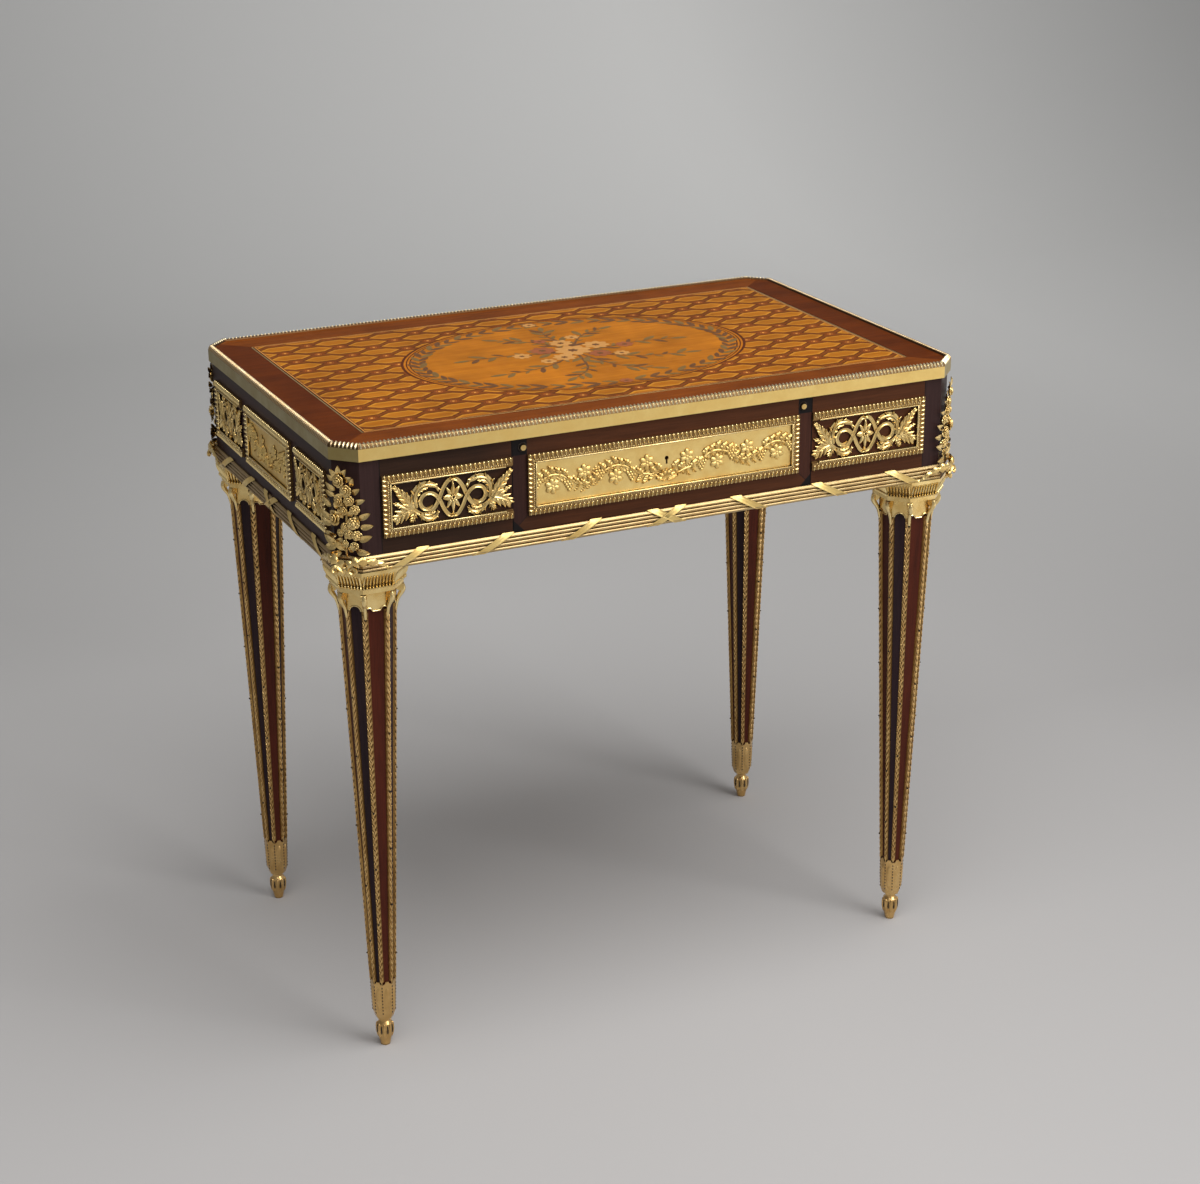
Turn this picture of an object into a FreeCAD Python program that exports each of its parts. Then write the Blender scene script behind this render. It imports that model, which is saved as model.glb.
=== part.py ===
import FreeCAD, Part
import math
import os
from FreeCAD import Vector

os.makedirs("parts", exist_ok=True)

# A small writing table whose top winds up and down on four racked rods in its legs.
# The frame is the table's own: origin on the floor under its centre, X to the right,
# Y to the back, Z up, all in millimetres.

# Driving dimensions of the whole table
table_width = 780.0
table_depth = 488.0
table_height = 750.0
corner_cut = 25.0
leg_top_width = 57.0
abacus_proud = 14.5
abacus_side_margin = 0.5
abacus_front_margin = 1.0
lift_travel = 200.0

# Clearances shared by all pieces
overrun = 3.0
running_gap = 0.3
shaft_fit = 0.05
joint_gap = 0.5

half_width = table_width / 2
half_depth = table_depth / 2
leg_x = half_width - abacus_side_margin - abacus_proud - leg_top_width / 2
leg_y = half_depth - abacus_front_margin - abacus_proud - leg_top_width / 2
x_dir = Vector(1, 0, 0)
y_dir = Vector(0, 1, 0)
z_dir = Vector(0, 0, 1)
origin = Vector(0, 0, 0)


def save(name, shape):
    """Writes one node."""
    shape.exportStep(os.path.join("parts", name + ".step"))
    print(name, "solids", len(shape.Solids), "valid", shape.isValid(), "volume", round(shape.Volume))


def box(x0, x1, y0, y1, z0, z1):
    """A block between two corners."""
    return Part.makeBox(x1 - x0, y1 - y0, z1 - z0, Vector(x0, y0, z0))


def group(shapes):
    """Separate solids kept in one node."""
    return Part.makeCompound([solid for shape in shapes for solid in shape.Solids])


def flip_x(shape):
    return shape.mirror(origin, x_dir)


def flip_y(shape):
    return shape.mirror(origin, y_dir)


def corners(shape):
    """The shape of the back right corner, repeated at all four corners."""
    pair = [shape, flip_x(shape)]
    return pair + [flip_y(one) for one in pair]


def cant_points(half_x, half_y, cut):
    """The eight corners of a rectangle with canted corners, in order round it."""
    return [
        (half_x, cut - half_y), (half_x, half_y - cut), (half_x - cut, half_y), (cut - half_x, half_y),
        (-half_x, half_y - cut), (-half_x, cut - half_y), (cut - half_x, -half_y), (half_x - cut, -half_y),
    ]


def cant_ring(half_x, half_y, cut, z, centre_x=0.0, centre_y=0.0):
    """A rectangle with canted corners, as a closed wire at one height."""
    path = [Vector(centre_x + x, centre_y + y, z) for x, y in cant_points(half_x, half_y, cut)]
    return Part.makePolygon(path + [path[0]])


def stack(rings):
    """A solid through rings that lie over each other."""
    return Part.makeLoft(rings, True, True)


def table_ring(inset, z):
    """The table's plan, drawn in from the overall size by an inset that keeps the cant parallel."""
    cut = corner_cut - inset * (2 - math.sqrt(2))
    return cant_ring(half_width - inset, half_depth - inset, cut, z)


def table_stack(levels):
    """Rings of the table's plan given as pairs of inset and height."""
    return stack([table_ring(inset, z) for inset, z in levels])


# Heights of the top and of the frieze
lip_height = 4.5
lip_rise = 2.0
band_height = 14.5
panel_height = 107.0
reed_height = 18.0
frieze_inset = 3.5
panel_thickness = 14.0

surface_z = table_height - lip_rise
band_top_z = table_height - lip_height
frieze_top_z = band_top_z - band_height
field_z = frieze_top_z - panel_height
carcass_z = field_z - reed_height
top_under_z = frieze_top_z + running_gap
face_x = half_width - frieze_inset
face_y = half_depth - frieze_inset
inside_x = face_x - panel_thickness
inside_y = face_y - panel_thickness

# Lift shafts and gears: sizes that the posts, boards and rods share
shaft_rise = 27.0
shaft_radius = 4.0
gear_module = 1.5
pinion_teeth = 14
pinion_width = 8.0
rod_radius = 6.0
rod_guide_length = 81.0
tooth_root_share = 1.27
shaft_z = carcass_z + shaft_rise
rack_depth = gear_module
tooth_root_drop = gear_module * tooth_root_share
pinion_pitch_radius = gear_module * pinion_teeth / 2
pinion_tip_radius = pinion_pitch_radius + gear_module
shaft_y = leg_y - rod_radius + rack_depth - pinion_pitch_radius
shaft_end_x = leg_x + pinion_width + shaft_radius
rod_bottom_z = shaft_z - lift_travel - rod_guide_length

# Legs: one timber each from the sabot to the top of the frieze, octagonal below and a
# corner post above, bored for the lift rod
leg_sabot_width = 23.5
leg_cant_share = 0.265
foot_height = 38.5
tenon_gap = 1.5
sabot_height = 49.5
post_width_x = 45.0
post_width_y = 39.0
post_reach_x = 12.5
post_reach_y = 29.0
bore_end = 5.0
slot_gap = 1.5
crank_hole_radius = 5.5
leg_tenon_z = foot_height + tenon_gap
sabot_top_z = foot_height + sabot_height
post_inner_x = leg_x - post_reach_x
post_inner_y = leg_y - post_reach_y
seam_x = face_x - post_width_x
seam_y = face_y - post_width_y


def leg_half(z):
    """Half of the octagon's width at one height."""
    grow = (leg_top_width - leg_sabot_width) / (carcass_z - sabot_top_z)
    return (leg_sabot_width + grow * (z - sabot_top_z)) / 2


def leg_ring(half, z):
    return cant_ring(half, half, half * 2 * leg_cant_share, z, leg_x, leg_y)


def leg_timber():
    """The back right leg, with its post's faces set back for the frieze panels that lap on it."""
    shaft = stack([leg_ring(leg_half(leg_tenon_z), leg_tenon_z), leg_ring(leg_half(carcass_z), carcass_z)])
    plan = table_stack([(frieze_inset, carcass_z), (frieze_inset, frieze_top_z)])
    post = plan.common(box(post_inner_x, half_width, post_inner_y, half_depth, carcass_z, frieze_top_z))
    back_lap = box(post_inner_x - overrun, seam_x, face_y - panel_thickness, half_depth, carcass_z, frieze_top_z)
    side_lap = box(face_x - panel_thickness, half_width, post_inner_y - overrun, seam_y, carcass_z, frieze_top_z)
    post = post.cut(back_lap).cut(side_lap)
    bore_foot = Vector(leg_x, leg_y, rod_bottom_z - bore_end)
    bore = Part.makeCylinder(rod_radius + shaft_fit, frieze_top_z + overrun - bore_foot.z, bore_foot, z_dir)
    shaft_hole = Part.makeCylinder(
        shaft_radius + shaft_fit, shaft_end_x - post_inner_x + overrun + joint_gap,
        Vector(post_inner_x - overrun, shaft_y, shaft_z), x_dir)
    reach = pinion_tip_radius + slot_gap
    slot_half = pinion_width / 2 + joint_gap
    slot = box(leg_x - slot_half, leg_x + slot_half, post_inner_y - overrun, leg_y,
               shaft_z - reach, shaft_z + reach)
    return shaft.fuse(post).removeSplitter().cut(bore).cut(shaft_hole).cut(slot)


timber = leg_timber()
crank_hole = Part.makeCylinder(crank_hole_radius, half_width - leg_x,
                               Vector(leg_x + pinion_width, -shaft_y, shaft_z), x_dir)
save("rear_right_leg", timber)
save("rear_left_leg", flip_x(timber))
save("front_right_leg", flip_y(timber).cut(crank_hole))
save("front_left_leg", flip_x(flip_y(timber)))

# Sabots: gilt bronze shoes with a turned foot, one under each leg, on which the table rests
sabot_wall = 1.9
sabot_lap = 1.5
sabot_foot_step = 0.6
sabot_waist_rise = 7.5
foot_radius = 9.7
foot_shares = [
    (0.0, 0.0), (0.577, 0.0), (0.619, 0.065), (0.907, 0.39), (1.0, 0.584), (0.897, 0.74), (0.64, 0.83),
    (0.6, 0.896), (0.784, 0.935), (0.784, 1.0), (0.0, 1.0),
]
scallop_radius = 3.4
sabot_foot_z = foot_height - sabot_lap
sabot_waist_z = foot_height + sabot_waist_rise
sabot_foot_half = leg_half(leg_tenon_z) - sabot_foot_step


def sabot():
    """Socket with a scalloped rim, and the turned foot below it."""
    shoe = stack([
        leg_ring(sabot_foot_half, sabot_foot_z),
        leg_ring(leg_half(sabot_waist_z) + sabot_wall, sabot_waist_z),
        leg_ring(leg_half(sabot_top_z) + sabot_wall, sabot_top_z),
    ])
    path = [Vector(leg_x + out * foot_radius, leg_y, up * foot_height) for out, up in foot_shares]
    foot = Part.Face(Part.makePolygon(path + [path[0]]))
    foot = foot.revolve(Vector(leg_x, leg_y, 0), z_dir, 360)
    socket = stack([leg_ring(leg_half(leg_tenon_z), leg_tenon_z),
                    leg_ring(leg_half(sabot_top_z + overrun), sabot_top_z + overrun)])
    shoe = shoe.fuse(foot).cut(socket)
    reach = leg_sabot_width
    for step in range(4):
        angle = math.radians(22.5 + 45 * step)
        along = Vector(math.cos(angle), math.sin(angle), 0)
        start = Vector(leg_x, leg_y, sabot_top_z) - along * reach
        shoe = shoe.cut(Part.makeCylinder(scallop_radius, 2 * reach, start, along))
    return shoe


save("sabots", group(corners(sabot())))

# Capitals: a plain fillet and a flaring leaf band on an apron plate with shaped lower edges,
# and a small volute at each arris
apron_height = 23.0
fillet_height = 6.0
leaf_height = 17.0
abacus_height = 4.0
apron_thickness = 2.2
fillet_proud = 8.5
leaf_foot_proud = 7.0
volute_radius = 4.7
volute_length = 6.0
volute_seat = 0.7
broad_notch_radius = 4.5
broad_notch_out = 9.0
cant_notch_radius = 7.0
apron_notch_drop = 1.0
capital_flare_z = carcass_z - abacus_height
capital_leaf_z = capital_flare_z - leaf_height
capital_fillet_z = capital_leaf_z - fillet_height
capital_apron_z = capital_fillet_z - apron_height
fillet_half = leg_top_width / 2 + fillet_proud
leaf_foot_half = leg_top_width / 2 + leaf_foot_proud
leaf_top_half = leg_top_width / 2 + abacus_proud
volute_z = capital_fillet_z - volute_radius


def capital():
    """The back right capital, hollow to fit its leg."""
    body = stack([leg_ring(leg_half(capital_apron_z) + apron_thickness, capital_apron_z),
                  leg_ring(leg_half(capital_fillet_z) + apron_thickness, capital_fillet_z)])
    notch_z = capital_apron_z - apron_notch_drop
    reach = leg_top_width
    foot = Vector(leg_x, leg_y, notch_z)
    for step in range(2):
        angle = math.radians(90 * step)
        along = Vector(math.cos(angle), math.sin(angle), 0)
        across = Vector(-along.y, along.x, 0)
        for side in (-1, 1):
            start = foot - along * reach + across * (side * broad_notch_out)
            body = body.cut(Part.makeCylinder(broad_notch_radius, 2 * reach, start, along))
        angle = math.radians(45 + 90 * step)
        along = Vector(math.cos(angle), math.sin(angle), 0)
        body = body.cut(Part.makeCylinder(cant_notch_radius, 2 * reach, foot - along * reach, along))
    fillet = stack([leg_ring(fillet_half, capital_fillet_z), leg_ring(fillet_half, capital_leaf_z)])
    leaves = stack([leg_ring(leaf_foot_half, capital_leaf_z), leg_ring(leaf_top_half, capital_flare_z)])
    abacus = stack([leg_ring(leaf_top_half, capital_flare_z), leg_ring(leaf_top_half, carcass_z)])
    body = body.fuse(fillet).fuse(leaves).fuse(abacus)
    apron_half = leg_half(volute_z) + apron_thickness
    for x, y in cant_points(apron_half, apron_half, apron_half * 2 * leg_cant_share):
        out = Vector(x, y, 0).normalize()
        across = Vector(-out.y, out.x, 0)
        start = Vector(leg_x + x, leg_y + y, volute_z) + out * (volute_radius - volute_seat)
        body = body.fuse(Part.makeCylinder(volute_radius, volute_length, start - across * (volute_length / 2), across))
    core = stack([leg_ring(leg_half(capital_apron_z - overrun), capital_apron_z - overrun),
                  leg_ring(leg_half(carcass_z), carcass_z)])
    return body.cut(core)


save("capitals", group(corners(capital())))

# Arris strips: eight gilt strips down each leg, each bent over one arris of the octagon
strip_thickness = 1.6
strip_top_half = 3.6
strip_foot_half = 2.6
strip_top_z = capital_apron_z - joint_gap
strip_foot_z = sabot_top_z + joint_gap


def strip_ring(index, half_width_of_strip, z):
    """The strip's V section at one height: two legs on the two faces that meet at the arris."""
    here = leg_half(z)
    proud = here + strip_thickness
    cut, proud_cut = here * 2 * leg_cant_share, proud * 2 * leg_cant_share

    def arris(half, corner, number):
        x, y = cant_points(half, half, corner)[number % 8]
        return Vector(leg_x + x, leg_y + y, z)

    inner, outer = arris(here, cut, index), arris(proud, proud_cut, index)
    before = (arris(here, cut, index - 1) - inner).normalize() * half_width_of_strip
    after = (arris(here, cut, index + 1) - inner).normalize() * half_width_of_strip
    path = [inner, inner + before, outer + before, outer, outer + after, inner + after]
    return Part.makePolygon(path + [path[0]])


def arris_strips():
    return [stack([strip_ring(index, strip_foot_half, strip_foot_z), strip_ring(index, strip_top_half, strip_top_z)])
            for index in range(8)]


save("arris_strips", group(shape for strip in arris_strips() for shape in corners(strip)))

# Frieze panels: veneered boards lapped on the posts, and the rail under the drawer
side_bay_width = 153.4
drawer_gap = 0.5
drawer_foot_gap = 1.0
bay_half = seam_x - side_bay_width
drawer_half = bay_half - drawer_gap
drawer_low_z = field_z + drawer_foot_gap

front_panel = box(bay_half, seam_x, -face_y, panel_thickness - face_y, carcass_z, frieze_top_z)
save("front_right_panel", front_panel)
save("front_left_panel", flip_x(front_panel))
side_panel = box(face_x - panel_thickness, face_x, -seam_y, seam_y, carcass_z, frieze_top_z)
save("right_panel", side_panel.cut(crank_hole))
save("left_panel", flip_x(side_panel))
save("back_panel", box(-seam_x, seam_x, face_y - panel_thickness, face_y, carcass_z, frieze_top_z))
save("front_bottom_rail", box(-bay_half, bay_half, -face_y, panel_thickness - face_y, carcass_z, field_z + joint_gap))

# Bottom board and the two partitions that carry the drawer's runners
board_thickness = 4.5
partition_thickness = 8.0
partition_drop = 25.0
drawer_front_thickness = 18.0
drawer_side_setback = 11.6
drawer_side_gap = 2.0
drawer_back_space = 99.0
notch_gap = 3.0
notch_head = 2.0
runner_width = 16.0
runner_height = 7.0
runner_shaft_gap = 1.0
runner_past = 32.5

drawer_back_face = drawer_front_thickness - face_y
drawer_side_x = drawer_half - drawer_side_setback
drawer_box_back_y = inside_y - drawer_back_space
board_top_z = carcass_z + board_thickness
partition_inner_x = drawer_side_x + drawer_side_gap
partition_top_z = frieze_top_z - partition_drop
notch_half = shaft_radius + notch_gap
runner_top_z = shaft_z + shaft_radius + runner_shaft_gap + runner_height
runner_back_y = drawer_box_back_y + runner_past


def bottom_board():
    board = box(-inside_x, inside_x, -inside_y, inside_y, carcass_z, board_top_z)
    post = box(post_inner_x, half_width, post_inner_y, half_depth, carcass_z, board_top_z)
    for one in corners(post):
        board = board.cut(one)
    return board


def partition():
    board = box(partition_inner_x, partition_inner_x + partition_thickness, drawer_back_face + joint_gap, inside_y,
                board_top_z, partition_top_z)
    for y in (-shaft_y, shaft_y):
        board = board.cut(box(partition_inner_x - overrun, partition_inner_x + partition_thickness + overrun,
                              y - notch_half, y + notch_half, board_top_z - overrun,
                              shaft_z + shaft_radius + notch_head))
    return board


save("bottom_board", bottom_board())
save("right_partition", partition())
save("left_partition", flip_x(partition()))
runner = box(partition_inner_x - runner_width, partition_inner_x, drawer_back_face + joint_gap, runner_back_y,
             runner_top_z - runner_height, runner_top_z)
save("drawer_runners", group([runner, flip_x(runner)]))

# Reeded moulding: four gilt reeds side by side round the foot of the frieze
reed_count = 4
reed_points = 6
reed_bulge = 2.6
reed_valley_inset = 1.6
reed_belly_share = 0.35


def reeded_moulding():
    pitch = reed_height / reed_count
    levels = [(frieze_inset - reed_valley_inset, carcass_z)]
    for reed in range(reed_count):
        for step in range(1, reed_points + 1):
            swell = math.sin(math.pi * step / reed_points)
            z = carcass_z + (reed + step / reed_points) * pitch
            belly = math.sin(math.pi * (z - carcass_z) / reed_height)
            inset = frieze_inset - reed_valley_inset - reed_bulge * swell * (1 - reed_belly_share * (1 - belly))
            levels.append((max(inset, 0.0), z))
    ring = table_stack(levels)
    core = table_stack([(frieze_inset, carcass_z - overrun), (frieze_inset, field_z + overrun)])
    return ring.cut(core)


save("reeded_moulding", reeded_moulding())

# Gilt frames and reliefs of the frieze: scroll panels at both sides of a centre plaque
frame_foot_margin = 18.2
frame_head_margin = 19.4
frame_width = 10.0
frame_proud = 3.5
frame_rebate = 1.6
frame_seam_margin = 1.9
stile_width = 17.4
side_scroll_width = 100.2
relief_thickness = 1.4
frame_low_z = field_z + frame_foot_margin
frame_high_z = frieze_top_z - frame_head_margin
frame_height = frame_high_z - frame_low_z
plaque_frame_half = drawer_half - stile_width
scroll_frame_inner = bay_half + running_gap
scroll_frame_outer = seam_x - frame_seam_margin
side_scroll_outer = seam_y - frame_seam_margin
side_scroll_inner = side_scroll_outer - side_scroll_width
side_plaque_half = side_scroll_inner - stile_width


def front_frame(x0, x1, open_side=0.0):
    """A picture frame on the front face, with an inner step; one upright may be left out."""
    outer = box(x0, x1, -face_y - frame_proud, -face_y, frame_low_z, frame_high_z)
    left = x0 + frame_width if open_side >= 0 else x0 - overrun
    right = x1 - frame_width if open_side <= 0 else x1 + overrun
    hole = box(left, right, -face_y - frame_proud - overrun, overrun - face_y,
               frame_low_z + frame_width, frame_high_z - frame_width)
    step = box(left - frame_rebate, right + frame_rebate, -face_y - frame_proud - overrun,
               -face_y - frame_proud / 2, frame_low_z + frame_width - frame_rebate,
               frame_high_z - frame_width + frame_rebate)
    return outer.cut(hole).cut(step)


def relief_plate(x0, x1):
    """The plate that fills a frame."""
    return box(x0 + frame_width, x1 - frame_width, -face_y - relief_thickness, -face_y,
               frame_low_z + frame_width, frame_high_z - frame_width)


def to_left_side(shape):
    """Turns a piece made for the front face so that it lies on the left face."""
    turned = shape.copy()
    turned.rotate(origin, z_dir, -90)
    turned.translate(Vector(face_y - face_x, 0, 0))
    return turned


# Shares of the panel's half length and half height that place the scrolls
relief_proud = 2.6
scroll_wall = 3.0
rosette_share = 0.5
oval_share = 0.34
oval_rise_share = 0.95
scroll_out_share = 0.46
scroll_share = 0.22
scroll_rise_share = 0.8
end_out_share = 1.55
end_share = 0.16
end_rise_share = 0.9
spine_start_share = 1.0


def scroll_bars(x0, x1):
    """A pierced scroll mount: a centre ring, a long oval round it and two leaf scrolls."""
    middle_x, middle_z = (x0 + x1) / 2, (frame_low_z + frame_high_z) / 2
    reach = (x1 - x0) / 2
    rise = frame_height / 2 - frame_width
    start = Vector(middle_x, -face_y - relief_proud, middle_z)

    def hoop(offset, half_x, half_z, wall):
        place = FreeCAD.Placement(start + Vector(offset, 0, 0), FreeCAD.Rotation(x_dir, -90))
        ring = []
        for a, b in ((half_x, half_z), (half_x - wall, half_z - wall)):
            curve = Part.Ellipse(origin, max(a, b), min(a, b)).toShape()
            if b > a:
                curve.rotate(origin, z_dir, 90)
            ring.append(Part.Face(Part.Wire(curve)))
        plate = ring[0].cut(ring[1])
        plate.Placement = place
        return plate.extrude(Vector(0, relief_proud, 0))

    mount = hoop(0, rise * rosette_share, rise * rosette_share, scroll_wall)
    mount = mount.fuse(hoop(0, reach * oval_share, rise * oval_rise_share, scroll_wall))
    for side in (-1, 1):
        far = side * reach * scroll_out_share
        mount = mount.fuse(hoop(far, reach * scroll_share, rise * scroll_rise_share, scroll_wall))
        mount = mount.fuse(hoop(far * end_out_share, reach * end_share, rise * end_rise_share, scroll_wall))
    spine = box(x0 + frame_width * spine_start_share, x1 - frame_width * spine_start_share, start.y, -face_y,
                middle_z - scroll_wall / 2, middle_z + scroll_wall / 2)
    return mount.fuse(spine).removeSplitter()


front_scroll_frame = front_frame(scroll_frame_inner, scroll_frame_outer, -1)
side_scroll_frame = to_left_side(front_frame(side_scroll_inner, side_scroll_outer, -1))
side_plaque_frame = to_left_side(front_frame(-side_plaque_half, side_plaque_half))
front_scroll = scroll_bars(scroll_frame_inner, scroll_frame_outer - frame_width)
side_scroll = to_left_side(scroll_bars(side_scroll_inner, side_scroll_outer - frame_width))
save("scroll_frames", group(corners(front_scroll_frame) + corners(side_scroll_frame)))
save("scroll_mounts", group(corners(front_scroll) + corners(side_scroll)))
back_plaque_frame = flip_y(front_frame(-plaque_frame_half, plaque_frame_half))
save("plaque_frames", group([side_plaque_frame, flip_x(side_plaque_frame), back_plaque_frame]))
back_plaque = flip_y(relief_plate(-plaque_frame_half, plaque_frame_half))
side_plaque = to_left_side(relief_plate(-side_plaque_half, side_plaque_half))
save("relief_plaques", group([side_plaque, flip_x(side_plaque), back_plaque]))

# Corner garlands: gilt pendants on the canted faces of the posts, over a leafy base on the reeds
garland_head_margin = 4.0
garland_foot_margin = 5.0
garland_half = 13.0
garland_proud = 7.5
garland_shoulder_share = 0.8
garland_level_shares = [
    (0.0, 0.46, 0.4), (0.1, 0.85, 0.87), (0.2, 1.0, 0.93), (0.32, 0.7, 0.73), (0.45, 1.0, 1.0), (0.6, 0.7, 0.67),
    (0.75, 0.85, 0.87), (0.88, 0.54, 0.53), (1.0, 0.23, 0.27),
]
garland_top_z = frieze_top_z - garland_head_margin
garland_foot_z = carcass_z + garland_foot_margin
cant_x = half_width - corner_cut / 2
cant_y = half_depth - corner_cut / 2


def corner_garland():
    """A swelling strip of flowers, as a shield that widens and narrows down the canted face."""
    rings = []
    out = Vector(1, 1, 0).normalize()
    across = Vector(1, -1, 0).normalize()
    face = Vector(cant_x, cant_y, 0) - out * frieze_inset
    for share, half_share, proud_share in garland_level_shares:
        half, proud = garland_half * half_share, garland_proud * proud_share
        foot = face + z_dir * (garland_foot_z + share * (garland_top_z - garland_foot_z))
        shoulder = out * (proud * garland_shoulder_share)
        path = [foot - across * half, foot - across * (half / 2) + shoulder, foot + out * proud,
                foot + across * (half / 2) + shoulder, foot + across * half]
        rings.append(Part.makePolygon(path + [path[0]]))
    return stack(rings)


reed_zone = table_stack([(0.0, carcass_z), (0.0, field_z)])
garland = corner_garland()
save("corner_garlands", group(one.cut(reed_zone) for one in corners(garland)))

# Crank hole's brass ring on the right face
ring_width = 2.5
ring_proud = 1.2
ring_radius = crank_hole_radius + ring_width
crank_ring = Part.makeCylinder(ring_radius, ring_proud, Vector(face_x, -shaft_y, shaft_z), x_dir)
crank_ring = crank_ring.cut(Part.makeCylinder(crank_hole_radius, ring_proud, Vector(face_x, -shaft_y, shaft_z), x_dir))
save("crank_ring", crank_ring)

# Lift gears: toothed wheels as prisms of flat-sided teeth with play between the flanks
tooth_play = 0.3
tip_share = 0.26
root_share = 0.62
pitch_share = 0.5
hub_wall = 2.5


def toothed_wire(radius, tip, root, teeth, first_angle, to_point):
    """A closed outline of trapezoid teeth, the first one centred on an angle."""
    pitch_angle = 2 * math.pi / teeth
    play = tooth_play / (2 * radius)
    path = []
    for tooth in range(teeth):
        middle = first_angle + tooth * pitch_angle
        for reach, share, side in ((root, root_share, -1), (radius, pitch_share, -1), (tip, tip_share, -1),
                                   (tip, tip_share, 1), (radius, pitch_share, 1), (root, root_share, 1)):
            angle = middle + side * (pitch_angle * share / 2 - play)
            path.append(to_point(reach * math.cos(angle), reach * math.sin(angle)))
    return Part.makePolygon(path + [path[0]])


def pinion(x, y, first_angle):
    """A spur pinion on a cross shaft."""
    wire = toothed_wire(pinion_pitch_radius, pinion_tip_radius, pinion_pitch_radius - tooth_root_drop, pinion_teeth,
                        first_angle, lambda a, b: Vector(x - pinion_width / 2, y + a, shaft_z + b))
    body = Part.Face(wire).extrude(Vector(pinion_width, 0, 0))
    hole = Part.makeCylinder(shaft_radius, pinion_width, Vector(x - pinion_width / 2, y, shaft_z), x_dir)
    return body.cut(hole)


# Mitre gears at the crossing of each lift shaft with the long shaft at the right
crossing_inset = 46.5
mitre_teeth = 12
mitre_radius = 10.0
mitre_tip_share = 1.16
mitre_root_share = 0.79
mitre_near_share = 0.62
mitre_hub_length = 6.0
crossing_x = leg_x - crossing_inset
mitre_tip = mitre_radius * mitre_tip_share
mitre_root = mitre_radius * mitre_root_share
hub_radius = shaft_radius + hub_wall


def mitre_on_cross_shaft(y, toward):
    """Mitre gear on a lift shaft, its teeth facing the crossing point; toward is the long shaft's side."""
    first = 0.0 if toward > 0 else math.pi

    def section(share):
        return toothed_wire(
            mitre_radius, mitre_tip, mitre_root, mitre_teeth, first,
            lambda a, b: Vector(crossing_x - mitre_radius * share, y + a * share, shaft_z + b * share))

    teeth = Part.makeLoft([section(1.0), section(mitre_near_share)], True, True)
    back = Vector(crossing_x - mitre_radius - mitre_hub_length, y, shaft_z)
    hub = Part.makeCylinder(hub_radius, mitre_hub_length, back, x_dir)
    hole = Part.makeCylinder(shaft_radius, mitre_hub_length + 2 * mitre_radius, back, x_dir)
    return teeth.fuse(hub).cut(hole)


def mitre_on_long_shaft():
    """Mitre gear at the long shaft's back end, with a gap between teeth on the mesh line."""
    first = math.pi + math.pi / mitre_teeth

    def section(share):
        return toothed_wire(
            mitre_radius, mitre_tip, mitre_root, mitre_teeth, first,
            lambda a, b: Vector(crossing_x + a * share, shaft_y - mitre_radius * share, shaft_z + b * share))

    teeth = Part.makeLoft([section(1.0), section(mitre_near_share)], True, True)
    back = Vector(crossing_x, shaft_y - mitre_radius - mitre_hub_length, shaft_z)
    hub = Part.makeCylinder(hub_radius, mitre_hub_length, back, y_dir)
    hole = Part.makeCylinder(shaft_radius, mitre_hub_length + 2 * mitre_radius, back, y_dir)
    return teeth.fuse(hub).cut(hole)


square_half = 2.6
square_length = inside_x - shaft_end_x


def lift_shaft(y, has_square):
    """A steel shaft from post to post; the front one ends in a square for the crank."""
    rod = Part.makeCylinder(shaft_radius, 2 * shaft_end_x, Vector(-shaft_end_x, y, shaft_z), x_dir)
    if has_square:
        rod = rod.fuse(box(shaft_end_x, shaft_end_x + square_length, y - square_half, y + square_half,
                           shaft_z - square_half, shaft_z + square_half))
    return rod


for name, y, toward in (("front", -shaft_y, 1), ("rear", shaft_y, -1)):
    tooth_angle = math.pi if y < 0 else 0.0
    gears = [pinion(x, y, tooth_angle) for x in (-leg_x, leg_x)] + [mitre_on_cross_shaft(y, toward)]
    save(name + "_lift_shaft", lift_shaft(y, y < 0))
    save(name + "_shaft_gears", group(gears))

# The long shaft, its mitre gears and the two bearing blocks that hold it off the bottom board
bearing_half = 6.0
bearing_length = 8.0
bearing_setback = 65.0
bearing_out = shaft_y - bearing_setback
long_end = shaft_y - mitre_radius * mitre_near_share
long_shaft = Part.makeCylinder(shaft_radius, 2 * long_end, Vector(crossing_x, -long_end, shaft_z), y_dir)
long_gear = mitre_on_long_shaft()
save("long_shaft", long_shaft)
save("long_shaft_gears", group([long_gear, flip_y(long_gear)]))
bearing = box(crossing_x - bearing_half, crossing_x + bearing_half, bearing_out, bearing_out + bearing_length,
              board_top_z, shaft_z + bearing_half)
bearing = bearing.cut(Part.makeCylinder(shaft_radius + shaft_fit, bearing_length,
                                        Vector(crossing_x, bearing_out, shaft_z), y_dir))
save("shaft_bearings", group([bearing, flip_y(bearing)]))

# The rising top: a frame with a ledge round its opening, and the four racked rods
band_thickness = 2.5
lid_thickness = 12.0
border_width = 48.0
lid_width = 112.0
ledge_width = 6.0
post_gap = 3.0
hinge_radius = 1.2
lid_gap = 0.3
bolt_half = 10.0
bolt_thickness = 5.0
bolt_setback = 2.0
bolt_throw = 6.0
bolt_pocket_gap = 2.0
rod_socket_depth = 4.0
rack_flank_degrees = 20.0
field_half_x = half_width - border_width
field_half_y = half_depth - border_width
flap_half_x = field_half_x - lid_width
ledge_x = post_inner_x - post_gap
ledge_y = field_half_y - ledge_width
bolt_front_y = drawer_back_face + bolt_setback
bolt_pocket_depth = bolt_throw + bolt_pocket_gap
lid_under_z = surface_z - lid_thickness
hinge_z = surface_z - hinge_radius


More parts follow.
